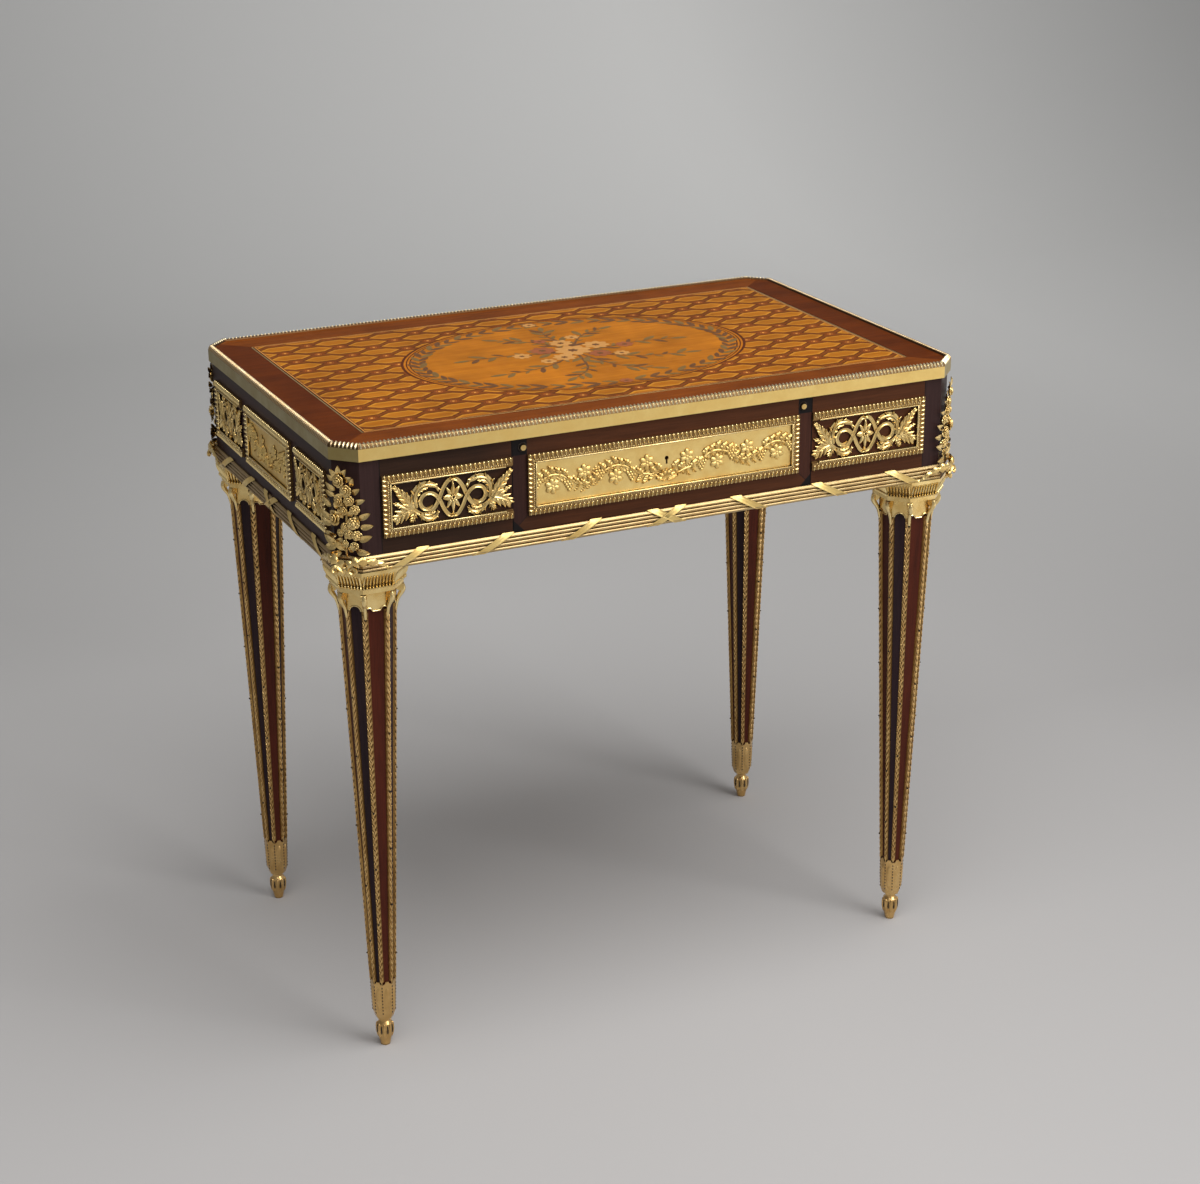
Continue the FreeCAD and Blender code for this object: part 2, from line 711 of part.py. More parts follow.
def top_frame():
    slab = table_stack([(band_thickness, top_under_z), (band_thickness, surface_z)])
    upper = box(-field_half_x - hinge_radius, field_half_x + hinge_radius, -field_half_y, field_half_y,
                lid_under_z, surface_z + overrun)
    upper = upper.fuse(box(-flap_half_x, flap_half_x, -field_half_y - hinge_radius, 0,
                           lid_under_z, surface_z + overrun))
    lower = box(-ledge_x, ledge_x, -ledge_y, ledge_y, top_under_z - overrun, surface_z)
    socket = Part.makeCylinder(rod_radius, rod_socket_depth, Vector(leg_x, leg_y, top_under_z), z_dir)
    pocket = box(-bolt_half - joint_gap, bolt_half + joint_gap, bolt_front_y - joint_gap,
                 bolt_front_y + bolt_thickness + joint_gap, top_under_z - overrun, top_under_z + bolt_pocket_depth)
    slab = slab.cut(upper).cut(lower).cut(pocket)
    for one in corners(socket):
        slab = slab.cut(one)
    return slab


save("top_frame", top_frame())


def rack_rod():
    """The back right lift rod, flat on its inner side and cut with rack teeth."""
    rod = Part.makeCylinder(rod_radius, top_under_z + rod_socket_depth - rod_bottom_z,
                            Vector(leg_x, leg_y, rod_bottom_z), z_dir)
    pitch = math.pi * gear_module
    face = leg_y - rod_radius
    mesh_y = face + rack_depth
    root_y = mesh_y + tooth_root_drop
    below = int((lift_travel + pinion_tip_radius) / pitch) + 1
    above = int(pinion_tip_radius / pitch) + 1
    half_pitch = pitch / 4 + tooth_play / 2
    slope = math.tan(math.radians(rack_flank_degrees))
    cuts = []
    for step in range(-below, above + 1):
        z = shaft_z + step * pitch
        mouth = half_pitch + (mesh_y - face + overrun) * slope
        bottom = half_pitch - (root_y - mesh_y) * slope
        path = [Vector(leg_x - rod_radius, face - overrun, z - mouth), Vector(leg_x - rod_radius, root_y, z - bottom),
                Vector(leg_x - rod_radius, root_y, z + bottom), Vector(leg_x - rod_radius, face - overrun, z + mouth)]
        cuts.append(Part.Face(Part.makePolygon(path + [path[0]])).extrude(Vector(2 * rod_radius, 0, 0)))
    for cutter in cuts:
        rod = rod.cut(cutter)
    return rod


save("lift_rods", group(corners(rack_rod())))

# Gilt band and lip round the top's edge
lip_width = 6.6
lip_shares = [(0.0, 0.0), (0.14, 0.64), (0.44, 1.0), (0.79, 0.91)]


def edge_band():
    """A flat band with a rounded lip that stands a little over the veneer."""
    lip = [(lip_width * across, band_top_z + lip_height * up) for across, up in lip_shares]
    body = table_stack([(0.0, top_under_z)] + lip[:3])
    hollow = table_stack([(band_thickness, top_under_z - overrun), (band_thickness, surface_z)])
    crown = table_stack([(lip_width, surface_z), lip[3], (lip[3][0], table_height + overrun)])
    return body.cut(hollow).cut(crown)


save("edge_band", edge_band())

# Boxes under the top: a compartment at each side and a shallow well between them
compartment_wall = 6.0
compartment_floor = 5.0
gear_gap = 5.4
well_floor = 4.0
well_gap = 5.0
divider_thickness = 5.0
compartment_floor_z = shaft_z + mitre_tip + gear_gap
well_floor_z = partition_top_z + well_gap
tray_top_z = lid_under_z - running_gap


def compartment():
    """The right compartment: four walls, a floor and one divider."""
    inner_x = flap_half_x - compartment_wall / 2
    body = box(inner_x, ledge_x, -ledge_y, ledge_y, compartment_floor_z, tray_top_z)
    hollow = box(inner_x + compartment_wall, ledge_x - compartment_wall, compartment_wall - ledge_y,
                 ledge_y - compartment_wall, compartment_floor_z + compartment_floor, tray_top_z + overrun)
    divider = box(inner_x + compartment_wall, ledge_x - compartment_wall, -divider_thickness / 2,
                  divider_thickness / 2, compartment_floor_z + compartment_floor, tray_top_z)
    return body.cut(hollow.cut(divider))


def well():
    """The shallow well under the reading flap."""
    half = flap_half_x - compartment_wall / 2
    body = box(-half, half, -ledge_y, ledge_y, well_floor_z, tray_top_z)
    hollow = box(-half - overrun, half + overrun, compartment_wall - ledge_y, ledge_y - compartment_wall,
                 well_floor_z + well_floor, tray_top_z + overrun)
    return body.cut(hollow)


save("right_compartment", compartment())
save("left_compartment", flip_x(compartment()))
save("well", well())

# Flap and lids, with the brass hinge barrels let in flush along their fixed edges
lid_edge_relief = 1.0
flap_front_y = hinge_radius + lid_gap - field_half_y
lid_inner_x = flap_half_x + lid_gap / 2
lid_outer_x = field_half_x - hinge_radius - lid_gap


def side_lid():
    """The right lid, its free edge cut back underneath so that it swings up past the flap."""
    front_y = lid_gap - field_half_y
    path = [Vector(lid_inner_x, front_y, surface_z), Vector(lid_outer_x, front_y, surface_z),
            Vector(lid_outer_x, front_y, lid_under_z), Vector(lid_inner_x + lid_edge_relief, front_y, lid_under_z)]
    return Part.Face(Part.makePolygon(path + [path[0]])).extrude(Vector(0, 2 * (field_half_y - lid_gap), 0))


flap = box(lid_gap / 2 - flap_half_x, flap_half_x - lid_gap / 2, flap_front_y, field_half_y - lid_gap,
           lid_under_z, surface_z)
lid = side_lid()
save("reading_flap", flap)
save("right_lid", lid)
save("left_lid", flip_x(lid))
flap_barrel = Part.makeCylinder(hinge_radius, 2 * (flap_half_x - lid_gap),
                                Vector(lid_gap - flap_half_x, -field_half_y, hinge_z), x_dir)
lid_barrel = Part.makeCylinder(hinge_radius, 2 * (field_half_y - lid_gap),
                               Vector(field_half_x, lid_gap - field_half_y, hinge_z), y_dir)
save("hinge_barrels", group([flap_barrel, lid_barrel, flip_x(lid_barrel)]))

# Prop board under the flap: as long as its pivot is from the flap's hinge, so that its foot
# walks over the ratchet bars as the flap rises
prop_half = 75.0
prop_back_space = 80.0
prop_thickness = 3.4
prop_pivot_drop = 2.3
prop_lug_length = 12.0
pivot_pin_radius = 0.9
ratchet_half = 6.0
ratchet_out = 50.0
ratchet_prop_gap = 2.6
ratchet_setback = 4.0
ratchet_notch_depth = 2.5
ratchet_notch_pitch = 14.0
ratchet_notches = 7
prop_length = (field_half_y + ledge_y - compartment_wall - prop_back_space) / 2
prop_pivot_y = prop_length - field_half_y
prop_pivot_z = lid_under_z - prop_pivot_drop
ratchet_top_z = prop_pivot_z - prop_thickness / 2 - ratchet_prop_gap
ratchet_end_y = prop_pivot_y + prop_length - ratchet_setback


def prop():
    """The prop board, rounded at its pivot and at its foot."""
    foot_y = prop_pivot_y + prop_length
    radius = prop_thickness / 2
    board = box(-prop_half, prop_half, prop_pivot_y, foot_y, prop_pivot_z - radius, prop_pivot_z + radius)
    for y in (prop_pivot_y, foot_y):
        board = board.fuse(Part.makeCylinder(radius, 2 * prop_half, Vector(-prop_half, y, prop_pivot_z), x_dir))
    pin_hole = Part.makeCylinder(pivot_pin_radius + shaft_fit, 2 * prop_half,
                                 Vector(-prop_half, prop_pivot_y, prop_pivot_z), x_dir)
    return board.removeSplitter().cut(pin_hole)


def prop_lugs():
    """Brass lugs screwed under the flap at both ends of the prop's pin, and the pin itself."""
    pin = Part.makeCylinder(pivot_pin_radius, 2 * (prop_half + running_gap + prop_lug_length),
                            Vector(-prop_half - running_gap - prop_lug_length, prop_pivot_y, prop_pivot_z), x_dir)
    shape = pin
    for side in (-1, 1):
        near = side * (prop_half + running_gap)
        far = side * (prop_half + running_gap + prop_lug_length)
        shape = shape.fuse(box(min(near, far), max(near, far), prop_pivot_y - prop_lug_length / 2,
                               prop_pivot_y + prop_lug_length / 2, prop_pivot_z - prop_thickness / 2, lid_under_z))
    return shape.removeSplitter()


def ratchet_bar():
    """One brass bar with saw teeth along its top."""
    start_y = ratchet_end_y - ratchet_notches * ratchet_notch_pitch
    path = [Vector(0, start_y, well_floor_z + well_floor)]
    for notch in range(ratchet_notches):
        y = start_y + notch * ratchet_notch_pitch
        path.append(Vector(0, y, ratchet_top_z))
        path.append(Vector(0, y + ratchet_notch_pitch, ratchet_top_z - ratchet_notch_depth))
    path.append(Vector(0, ratchet_end_y, well_floor_z + well_floor))
    bar = Part.Face(Part.makePolygon(path + [path[0]])).extrude(Vector(2 * ratchet_half, 0, 0))
    bar.translate(Vector(ratchet_out - ratchet_half, 0, 0))
    return bar


save("flap_prop", prop())
save("prop_lugs", prop_lugs())
save("ratchet_bars", group([ratchet_bar(), flip_x(ratchet_bar())]))

# Drawer: a veneered front, and behind it a box on the runners
drawer_head_gap = 0.8
drawer_side_thickness = 9.0
drawer_side_drop = 1.0
drawer_floor_thickness = 5.0
drawer_floor_rise = 3.0
button_inset = 12.0
button_drop = 10.0
stem_radius = 1.6
head_radius = 3.2
head_thickness = 1.4
head_gap = 0.1
button_travel = 2.0
stem_past = 3.5
key_radius = 2.4
key_slot_half = 1.1
key_slot_drop = 7.0
key_rise = 60.0
drawer_high_z = frieze_top_z - drawer_head_gap
drawer_box_low_z = runner_top_z + running_gap
drawer_box_top_z = partition_top_z - drawer_side_drop
button_x = drawer_half - button_inset
button_z = frieze_top_z - button_drop
key_z = field_z + key_rise


def key_cut(y0, y1):
    """The keyhole right through, as a round eye over a slot."""
    eye = Part.makeCylinder(key_radius, y1 - y0, Vector(0, y0, key_z), y_dir)
    return eye.fuse(box(-key_slot_half, key_slot_half, y0, y1, key_z - key_slot_drop, key_z))


def drawer_front():
    front = box(-drawer_half, drawer_half, -face_y, drawer_back_face, drawer_low_z, drawer_high_z)
    for side in (-1, 1):
        hole = Part.makeCylinder(stem_radius + shaft_fit, drawer_front_thickness,
                                 Vector(side * button_x, -face_y, button_z), y_dir)
        front = front.cut(hole)
    return front.cut(key_cut(-face_y, drawer_back_face))


drawer_side = box(drawer_side_x - drawer_side_thickness, drawer_side_x, drawer_back_face, drawer_box_back_y,
                  drawer_box_low_z, drawer_box_top_z)
drawer_inner = drawer_side_x - drawer_side_thickness
drawer_floor_z = drawer_box_low_z + drawer_floor_rise
save("drawer_front", drawer_front())
save("drawer_sides", group([drawer_side, flip_x(drawer_side)]))
save("drawer_back", box(-drawer_inner, drawer_inner, drawer_box_back_y - drawer_side_thickness, drawer_box_back_y,
                        drawer_floor_z, drawer_box_top_z))
save("drawer_bottom", box(-drawer_inner, drawer_inner, drawer_back_face, drawer_box_back_y - drawer_side_thickness,
                          drawer_floor_z, drawer_floor_z + drawer_floor_thickness))
save("drawer_plaque_frame", front_frame(-plaque_frame_half, plaque_frame_half))
save("drawer_plaque", relief_plate(-plaque_frame_half, plaque_frame_half).cut(
    key_cut(-face_y - relief_proud, -face_y)))

# Lock on the back of the drawer front: a brass case with its bolt below the top edge
case_half = 24.0
case_depth = 9.0
case_key_drop = 16.0
case_head_gap = 0.7
bolt_key_gap = 6.0
case_low_z = key_z - case_key_drop
case_high_z = drawer_high_z - case_head_gap
bolt_low_z = key_z + bolt_key_gap


def lock_case():
    case = box(-case_half, case_half, drawer_back_face, drawer_back_face + case_depth, case_low_z, case_high_z)
    room = box(-bolt_half - shaft_fit, bolt_half + shaft_fit, bolt_front_y - shaft_fit,
               bolt_front_y + bolt_thickness + shaft_fit, bolt_low_z - shaft_fit, case_high_z + overrun)
    return case.cut(room).cut(key_cut(drawer_back_face, bolt_front_y))


save("lock_case", lock_case())
save("lock_bolt", box(-bolt_half, bolt_half, bolt_front_y, bolt_front_y + bolt_thickness, bolt_low_z, case_high_z))

# Two push buttons through the stiles of the drawer front, each with a leaf spring behind it
spring_half = 4.0
spring_thickness = 0.8
spring_foot_height = 4.0
spring_rise = 2.0
spring_low_z = partition_top_z + spring_rise


def button(x):
    """A round head on a stem that comes out behind the drawer front."""
    stand_off = button_travel + head_gap
    front_y = -face_y - stand_off - head_thickness
    head = Part.makeCylinder(head_radius, head_thickness, Vector(x, front_y, button_z), y_dir)
    stem_length = head_thickness + stand_off + drawer_front_thickness + stem_past
    return head.fuse(Part.makeCylinder(stem_radius, stem_length, Vector(x, front_y, button_z), y_dir))


def button_spring(x):
    """A bent strip of spring brass, screwed to the back of the front below the button."""
    reach = drawer_back_face + stem_past + button_travel + running_gap
    strip = box(x - spring_half, x + spring_half, reach, reach + spring_thickness, spring_low_z,
                button_z + spring_half)
    foot = box(x - spring_half, x + spring_half, drawer_back_face, reach, spring_low_z,
               spring_low_z + spring_foot_height)
    return strip.fuse(foot).removeSplitter()


save("right_button", button(button_x))
save("left_button", button(-button_x))
save("button_springs", group([button_spring(button_x), button_spring(-button_x)]))
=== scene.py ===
from functools import partialmethod
from math import atan2, copysign, cos, pi, radians, sin, sqrt

import bmesh
import bpy
from mathutils import Matrix, Vector


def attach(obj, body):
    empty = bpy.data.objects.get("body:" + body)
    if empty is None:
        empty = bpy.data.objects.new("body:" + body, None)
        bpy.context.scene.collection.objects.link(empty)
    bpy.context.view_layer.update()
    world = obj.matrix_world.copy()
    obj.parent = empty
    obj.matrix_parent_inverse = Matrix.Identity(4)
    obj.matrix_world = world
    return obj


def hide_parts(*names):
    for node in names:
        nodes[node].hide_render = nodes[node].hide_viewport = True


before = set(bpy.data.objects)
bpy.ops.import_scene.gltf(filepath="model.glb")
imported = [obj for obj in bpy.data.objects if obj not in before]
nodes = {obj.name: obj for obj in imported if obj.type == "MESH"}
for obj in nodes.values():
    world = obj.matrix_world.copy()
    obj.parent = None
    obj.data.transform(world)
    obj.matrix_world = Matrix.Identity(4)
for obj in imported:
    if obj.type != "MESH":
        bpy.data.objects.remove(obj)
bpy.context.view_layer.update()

# Legs and frieze: oak faced with a dark red-brown veneer, rubbed to a wax polish.
# The legs' broad faces are redder than their canted ones, whose near-black cool colour is
# painted shade and a painted reflection; the frieze's rails and stiles run with the grain along them.


class Reading:
    """A number or colour read at each point of a surface; sums on it become shader nodes."""

    def __init__(self, node, output=0):
        self.node = node
        self.output = output
        self.tree = node.id_data

    def reckon(self, operation, *others):
        return read(self.tree, "Math", self, *others, operation=operation)

    def __rsub__(self, other):
        return read(self.tree, "Math", other, self, operation="SUBTRACT")

    def spread(self, low, high, start=0.0, end=1.0):
        """Stretches the part between two values over another range."""
        return read(self.tree, "MapRange", self, low, high, start, end)


for sign, operation in (("add", "ADD"), ("sub", "SUBTRACT"), ("mul", "MULTIPLY"), ("truediv", "DIVIDE"),
                        ("pow", "POWER"), ("abs", "ABSOLUTE"), ("gt", "GREATER_THAN"), ("lt", "LESS_THAN")):
    setattr(Reading, "__" + sign + "__", partialmethod(Reading.reckon, operation))


def larger(first, second):
    return first.reckon("MAXIMUM", second)


def plug(socket, value):
    """Joins a reading to a socket, or sets the socket to a plain number or colour."""
    if isinstance(value, Reading):
        value.tree.links.new(value.node.outputs[value.output], socket)
    elif value is not None:
        socket.default_value = (*value, 1.0) if socket.type == "RGBA" else value


def add_node(tree, kind, *inputs, **settings):
    """A shader node with its settings made and its sockets filled in order."""
    made = tree.nodes.new("ShaderNode" + kind)
    for name, value in settings.items():
        setattr(made, name, value)
    for socket, value in zip(made.inputs, inputs):
        plug(socket, value)
    return made


def read(tree, kind, *inputs, output=0, **settings):
    """What one output of a new node gives."""
    return Reading(add_node(tree, kind, *inputs, **settings), output)


def read_all(node):
    return [Reading(node, place) for place in range(len(node.outputs))]


def axes(point):
    """The three parts of a place or a direction."""
    return read_all(add_node(point.tree, "SeparateXYZ", point))


def noise(point, size, detail, roughness):
    return read(point.tree, "TexNoise", point, None, size, detail, roughness)


def blend(share, first, second, kind="MIX"):
    """One colour laid over another by a mask."""
    tree = (share if isinstance(share, Reading) else first).tree
    made = add_node(tree, "Mix", data_type="RGBA", blend_type=kind)
    for place, value in ((0, share), (6, first), (7, second)):
        plug(made.inputs[place], value)
    return Reading(made, 2)


def new_group(name, inputs, outputs):
    """An effect that several finishes use, with named inputs and outputs."""
    tree = bpy.data.node_groups.new(name, "ShaderNodeTree")
    for way, sockets in (("INPUT", inputs), ("OUTPUT", outputs)):
        for label, kind in sockets.items():
            tree.interface.new_socket(label, in_out=way, socket_type="NodeSocket" + kind)
    entry = tree.nodes.new("NodeGroupInput")
    return tree, [Reading(entry, place) for place in range(len(inputs))], tree.nodes.new("NodeGroupOutput")


def give(result, *values):
    """Joins the values to the group's outputs in order."""
    for socket, value in zip(result.inputs, values):
        plug(socket, value)


def use_group(group, point, *inputs):
    """What a group gives at a place on the surface."""
    return read_all(add_node(point.tree, "Group", point, *inputs, node_tree=group))


def wood_grain():
    """Streaks and pores of sawn veneer, stretched along the first axis of its vector."""
    tree, (point, pale, deep), result = new_group(
        "wood grain", {"Vector": "Vector", "Pale": "Color", "Deep": "Color"},
        {"Color": "Color", "Height": "Float"})
    streak = noise(point, 1.0, 5.0, 0.6)
    figure = noise(point, 0.16, 3.0, 0.5)
    pore = noise(point, 6.0, 2.0, 0.5)
    share = (streak * 0.75 + figure * 0.75).spread(0.45, 1.05)
    give(result, blend(share, deep, pale), pore * 0.5 + streak)
    return tree


grain_group = wood_grain()


def new_material(name):
    """An empty finish, with its shader ready for colours."""
    material = bpy.data.materials.new(name)
    material.use_nodes = True
    tree = material.node_tree
    return material, tree, tree.nodes["Principled BSDF"]


def feed(shader, **values):
    """Gives the shader's sockets their readings or plain numbers; an underscore stands for a space."""
    for name, value in values.items():
        plug(shader.inputs[name.replace("_", " ")], value)


def set_bump(shader, height, depth):
    made = add_node(height.tree, "Bump")
    feed(made, Strength=1.0, Distance=depth, Height=height)
    feed(shader, Normal=Reading(made))


def object_point(tree, scale=(1.0, 1.0, 1.0), turn=(0.0, 0.0, 0.0)):
    """A place on the piece, in its own coordinates."""
    return read(tree, "Mapping", read(tree, "TexCoord", output="Object"), None, turn, scale)


def grain(tree, way, pale, deep, turn=(0.0, 0.0, 0.0)):
    """The colour and the height of wood whose grain runs one way."""
    return use_group(grain_group, object_point(tree, way, turn), pale, deep)


def polish(shader, colour, height, depth=0.00005, roughness=0.4, specular=0.07, coat=0.04):
    """Puts a wood's colour and fine relief under wax."""
    feed(shader, Base_Color=colour, Roughness=roughness, Specular_IOR_Level=specular, Coat_Weight=coat,
         Coat_Roughness=0.25)
    set_bump(shader, height, depth)


def polished_wood(name, pale, deep, way, roughness, coat, turn=(0.0, 0.0, 0.0)):
    """Plain wood under polish, with its grain along one way."""
    material, tree, shader = new_material(name)
    polish(shader, *grain(tree, way, pale, deep, turn), 0.00006, roughness, 0.07, coat)
    return material


def dress(material, *names):
    """Gives CAD nodes their finish."""
    for name in names:
        mesh = nodes[name].data
        mesh.materials.clear()
        mesh.materials.append(material)


along_x = (30.0, 700.0, 700.0)
along_y = (700.0, 30.0, 700.0)
along_z = (700.0, 700.0, 30.0)
mm = 0.001
leg_top = 606.0


def leg_veneer():
    """Veneer that is red-brown on the broad faces and painted near black with a cool tint on the canted
    ones, as painted shade and reflection.
    """
    material, tree, shader = new_material("leg veneer")
    broad, height = grain(tree, along_z, (0.092, 0.019, 0.009), (0.038, 0.009, 0.005))
    # Painted shade and reflection: faces picked by which way they look get this darker, cooler copy of the
    # veneer.
    canted, _ = grain(tree, along_z, (0.044, 0.024, 0.028), (0.020, 0.012, 0.014))
    post, _ = grain(tree, along_z, (0.046, 0.023, 0.021), (0.026, 0.013, 0.012))
    across, back, _ = axes(read(tree, "NewGeometry", output="True Normal"))
    shaft = blend(larger(abs(across), abs(back)) > 0.92, canted, broad)
    in_frieze = axes(object_point(tree))[2] > leg_top * mm
    polish(shader, blend(in_frieze, shaft, post), height)
    return material


dress(leg_veneer(), "rear_right_leg", "rear_left_leg", "front_right_leg", "front_left_leg")
side_veneer = polished_wood("side veneer", (0.052, 0.024, 0.024), (0.026, 0.013, 0.014), along_y, 0.4, 0.04)
dress(side_veneer, "right_panel", "left_panel")

# Front and back of the frieze: the rails' veneer runs along them and is mitred into upright
# strips at the drawer's ends, with black joint lines and a blackened patch round each button.
in_millimetres = (1000.0, 1000.0, 1000.0)
face_x, face_y = 386.5, 240.5
frame_low, frame_high = 642.2, 711.6
drawer_end, plaque_end, panel_end = 187.6, 170.2, 341.5


def front_veneer():
    """Red-brown veneer with its joints laid in black, painted darker and cooler towards the left as painted
    shade.
    """
    material, tree, shader = new_material("front veneer")
    x, _, z = axes(object_point(tree, in_millimetres))
    rail, height = grain(tree, along_x, (0.096, 0.032, 0.013), (0.046, 0.016, 0.007))
    stile, _ = grain(tree, along_z, (0.066, 0.024, 0.015), (0.034, 0.013, 0.009))
    across = abs(x)
    past_plaque = across - plaque_end
    below = frame_low - z
    above = z - frame_high
    mitre = past_plaque - larger(below, above)
    on_drawer = across < drawer_end + 0.2
    colour = blend((mitre > 0.0) * on_drawer, rail, stile)
    # Painted shade: the veneer is multiplied darker and cooler towards the left.
    colour = blend(x.spread(-230.0, -120.0, 1.0, 0.0), colour, (0.44, 0.64, 0.95), "MULTIPLY")
    black = across.reckon("COMPARE", drawer_end + 0.5, 0.6)
    patch = (past_plaque > 0.0) * on_drawer
    joint = abs(mitre) < 0.45
    foot = past_plaque + below > 22.0
    for mask in (patch * joint, patch * (above > 0.5), patch * foot, across > panel_end - 0.9):
        black = larger(black, mask)
    polish(shader, blend(black, colour, (0.010, 0.008, 0.008)), height)
    return material


dress(front_veneer(), "front_right_panel", "front_left_panel", "back_panel", "front_bottom_rail",
      "drawer_front")

# Gilt bronze: every mount is cast, chased and fire-gilt, bright on the high parts and
# dull brown in the hollows, partly where polish and dust settle and partly as painted shade.


def gilding_wear():
    """Patches of thicker and thinner gold, and the fine tool marks of chasing."""
    tree, (point, bright, worn), result = new_group(
        "gilding wear", {"Vector": "Vector", "Bright": "Color", "Worn": "Color"},
        {"Color": "Color", "Roughness": "Float", "Height": "Float"})
    patch = noise(point, 45.0, 4.0, 0.6)
    colour = blend(patch.spread(0.35, 0.65), worn, bright)
    give(result, colour, patch.spread(0.3, 0.7, 0.08, -0.04), noise(point, 1400.0, 2.0, 0.5))
    return tree


gilding_group = gilding_wear()


def gilding(tree, bright, worn):
    """The colour, the roughness and the height of worn gilding."""
    return use_group(gilding_group, object_point(tree), bright, worn)


def shade_hollows(colour, hollow, reach=0.003):
    """Darkens a colour in its hollows, dirt there mixed with painted shade, and says how open each place is.
    """
    openness = read(colour.tree, "AmbientOcclusion", None, reach, output="AO", samples=6).spread(0.25, 0.8)
    return blend(openness, hollow, colour), openness


def gilt(name, bright, worn, hollow, roughness, chasing=0.00008, reach=0.003, ends=None):
    """A gilt finish that is dark in its hollows, partly dirt and partly painted shade, and painted darker at
    the table's two ends as painted shade if a tint is given.
    """
    material, tree, shader = new_material(name)
    colour, rough, height = gilding(tree, bright, worn)
    colour, openness = shade_hollows(colour, hollow, reach)
    # Painted shade: the table's two ends are multiplied by the tint.
    if ends:
        colour = blend(abs(axes(object_point(tree))[0]).spread(0.378, 0.386), colour, ends, "MULTIPLY")
    feed(shader, Base_Color=colour, Metallic=1.0, Roughness=rough + (openness * -0.15 + (roughness + 0.15)))
    set_bump(shader, height, chasing)
    return material


cast_gilt = gilt("cast gilt", (0.97, 0.74, 0.33), (0.80, 0.54, 0.19), (0.07, 0.032, 0.010), 0.23)
bright_gilt = gilt("bright gilt", (0.98, 0.79, 0.40), (0.90, 0.66, 0.28), (0.12, 0.06, 0.02), 0.22,
                   reach=0.0014)
leg_gilt = gilt("leg gilt", (0.80, 0.53, 0.22), (0.62, 0.38, 0.14), (0.06, 0.026, 0.009), 0.27)
# Painted highlight and shade: the lip ribs get a paler, cream gilt, and are multiplied darker at the table's
# two ends.
lip_gilt = gilt("lip gilt", (1.0, 0.90, 0.64), (0.96, 0.80, 0.48), (0.20, 0.11, 0.04), 0.33, reach=0.0008,
                ends=(0.50, 0.42, 0.36))
matt_gilt = gilt("matt gilt", (0.95, 0.71, 0.28), (0.84, 0.58, 0.20), (0.22, 0.11, 0.03), 0.42,
                 0.00015, 0.002)
# Painted shade: shaded gilt on the arris strips and recess gilt on the frames are dark copies of the
# gilding, so the ground round the laurel leaves and the frames' leaf tips looks shaded.
shaded_gilt = gilt("shaded gilt", (0.52, 0.32, 0.11), (0.34, 0.19, 0.06), (0.05, 0.024, 0.009), 0.38, 0.0001)
recess_shade_gilt = gilt("recess shade gilt", (0.36, 0.22, 0.085), (0.24, 0.14, 0.052), (0.04, 0.021, 0.010), 0.45,
                   0.0001)
dress(leg_gilt, "sabots")
dress(cast_gilt, "capitals", "crank_ring")
dress(shaded_gilt, "arris_strips")
dress(recess_shade_gilt, "scroll_frames", "plaque_frames", "drawer_plaque_frame")
dress(matt_gilt, "relief_plaques", "drawer_plaque")

# Reeded moulding: drawn in lengths and fixed under the frieze; the gilding of its left and
# right runs, like that of the edge band, is painted darker and cooler than the front's, as painted shade.


def painted_side_shade(colour, side_shade):
    """Paints the gilding darker, with the given tint, on faces that look left or right: painted shade."""
    across = axes(read(colour.tree, "NewGeometry", output="True Normal"))[0]
    return blend(abs(across).spread(0.35, 0.75), colour, side_shade, "MULTIPLY")


def moulding_gilt():
    material, tree, shader = new_material("moulding gilt")
    gold, _, _ = gilding(tree, (0.62, 0.46, 0.225), (0.50, 0.345, 0.155))
    colour, _ = shade_hollows(gold, (0.08, 0.042, 0.016))
    feed(shader, Base_Color=painted_side_shade(colour, (0.72, 0.66, 0.62)), Metallic=1.0, Roughness=0.38)
    return material


dress(moulding_gilt(), "reeded_moulding")

# Frame mounts: each gilt frame has a row of leaf tips round its outer edge and a finer
# bead inside it, cast with the frame and chased by hand.
in_metres = Matrix.Scale(mm, 4)
tip_pitch, tip_inset = 5.3, 2.7
bead_pitch, bead_inset = 2.7, 7.0
fillet_width, fillet_inset = 1.5, 8.4
bays = (("front", 188.4, 339.6), ("back", 188.4, 339.6), ("left", 99.4, 199.6), ("right", 99.4, 199.6))
plaque_ends = {"front": plaque_end, "back": plaque_end, "left": 82.0, "right": 82.0}
face_turns = {"front": 0, "right": 90, "back": 180, "left": -90}


def turned(degrees, axis):
    return Matrix.Rotation(radians(degrees), 4, axis)


def moved(*place):
    return Matrix.Translation(place)


def sized(*shares):
    """A change of size, by one share all round or by one for each way."""
    return Matrix.Diagonal((*(shares * 3)[:3], 1.0))


def on_face(side, across, up, out=0.0, spin=0.0, stretch=(1.0, 1.0, 1.0)):
    """Where a small casting goes on one face of the frieze; spin turns it clockwise from upright."""
    distance = face_y if side in ("front", "back") else face_x
    place = in_metres @ turned(face_turns[side], "Z") @ moved(across, -distance - out, up)
    return place @ turned(spin, "Y") @ sized(*stretch)


def casting(bm):
    """Keeps a shape as a pattern to be cast many times."""
    pattern = bpy.data.meshes.new("pattern")
    bm.to_mesh(pattern)
    bm.free()
    return pattern


def cast(bm, pattern, place):
    """Adds one copy of a pattern."""
    copy = pattern.copy()
    copy.transform(place)
    bm.from_mesh(copy)
    bpy.data.meshes.remove(copy)


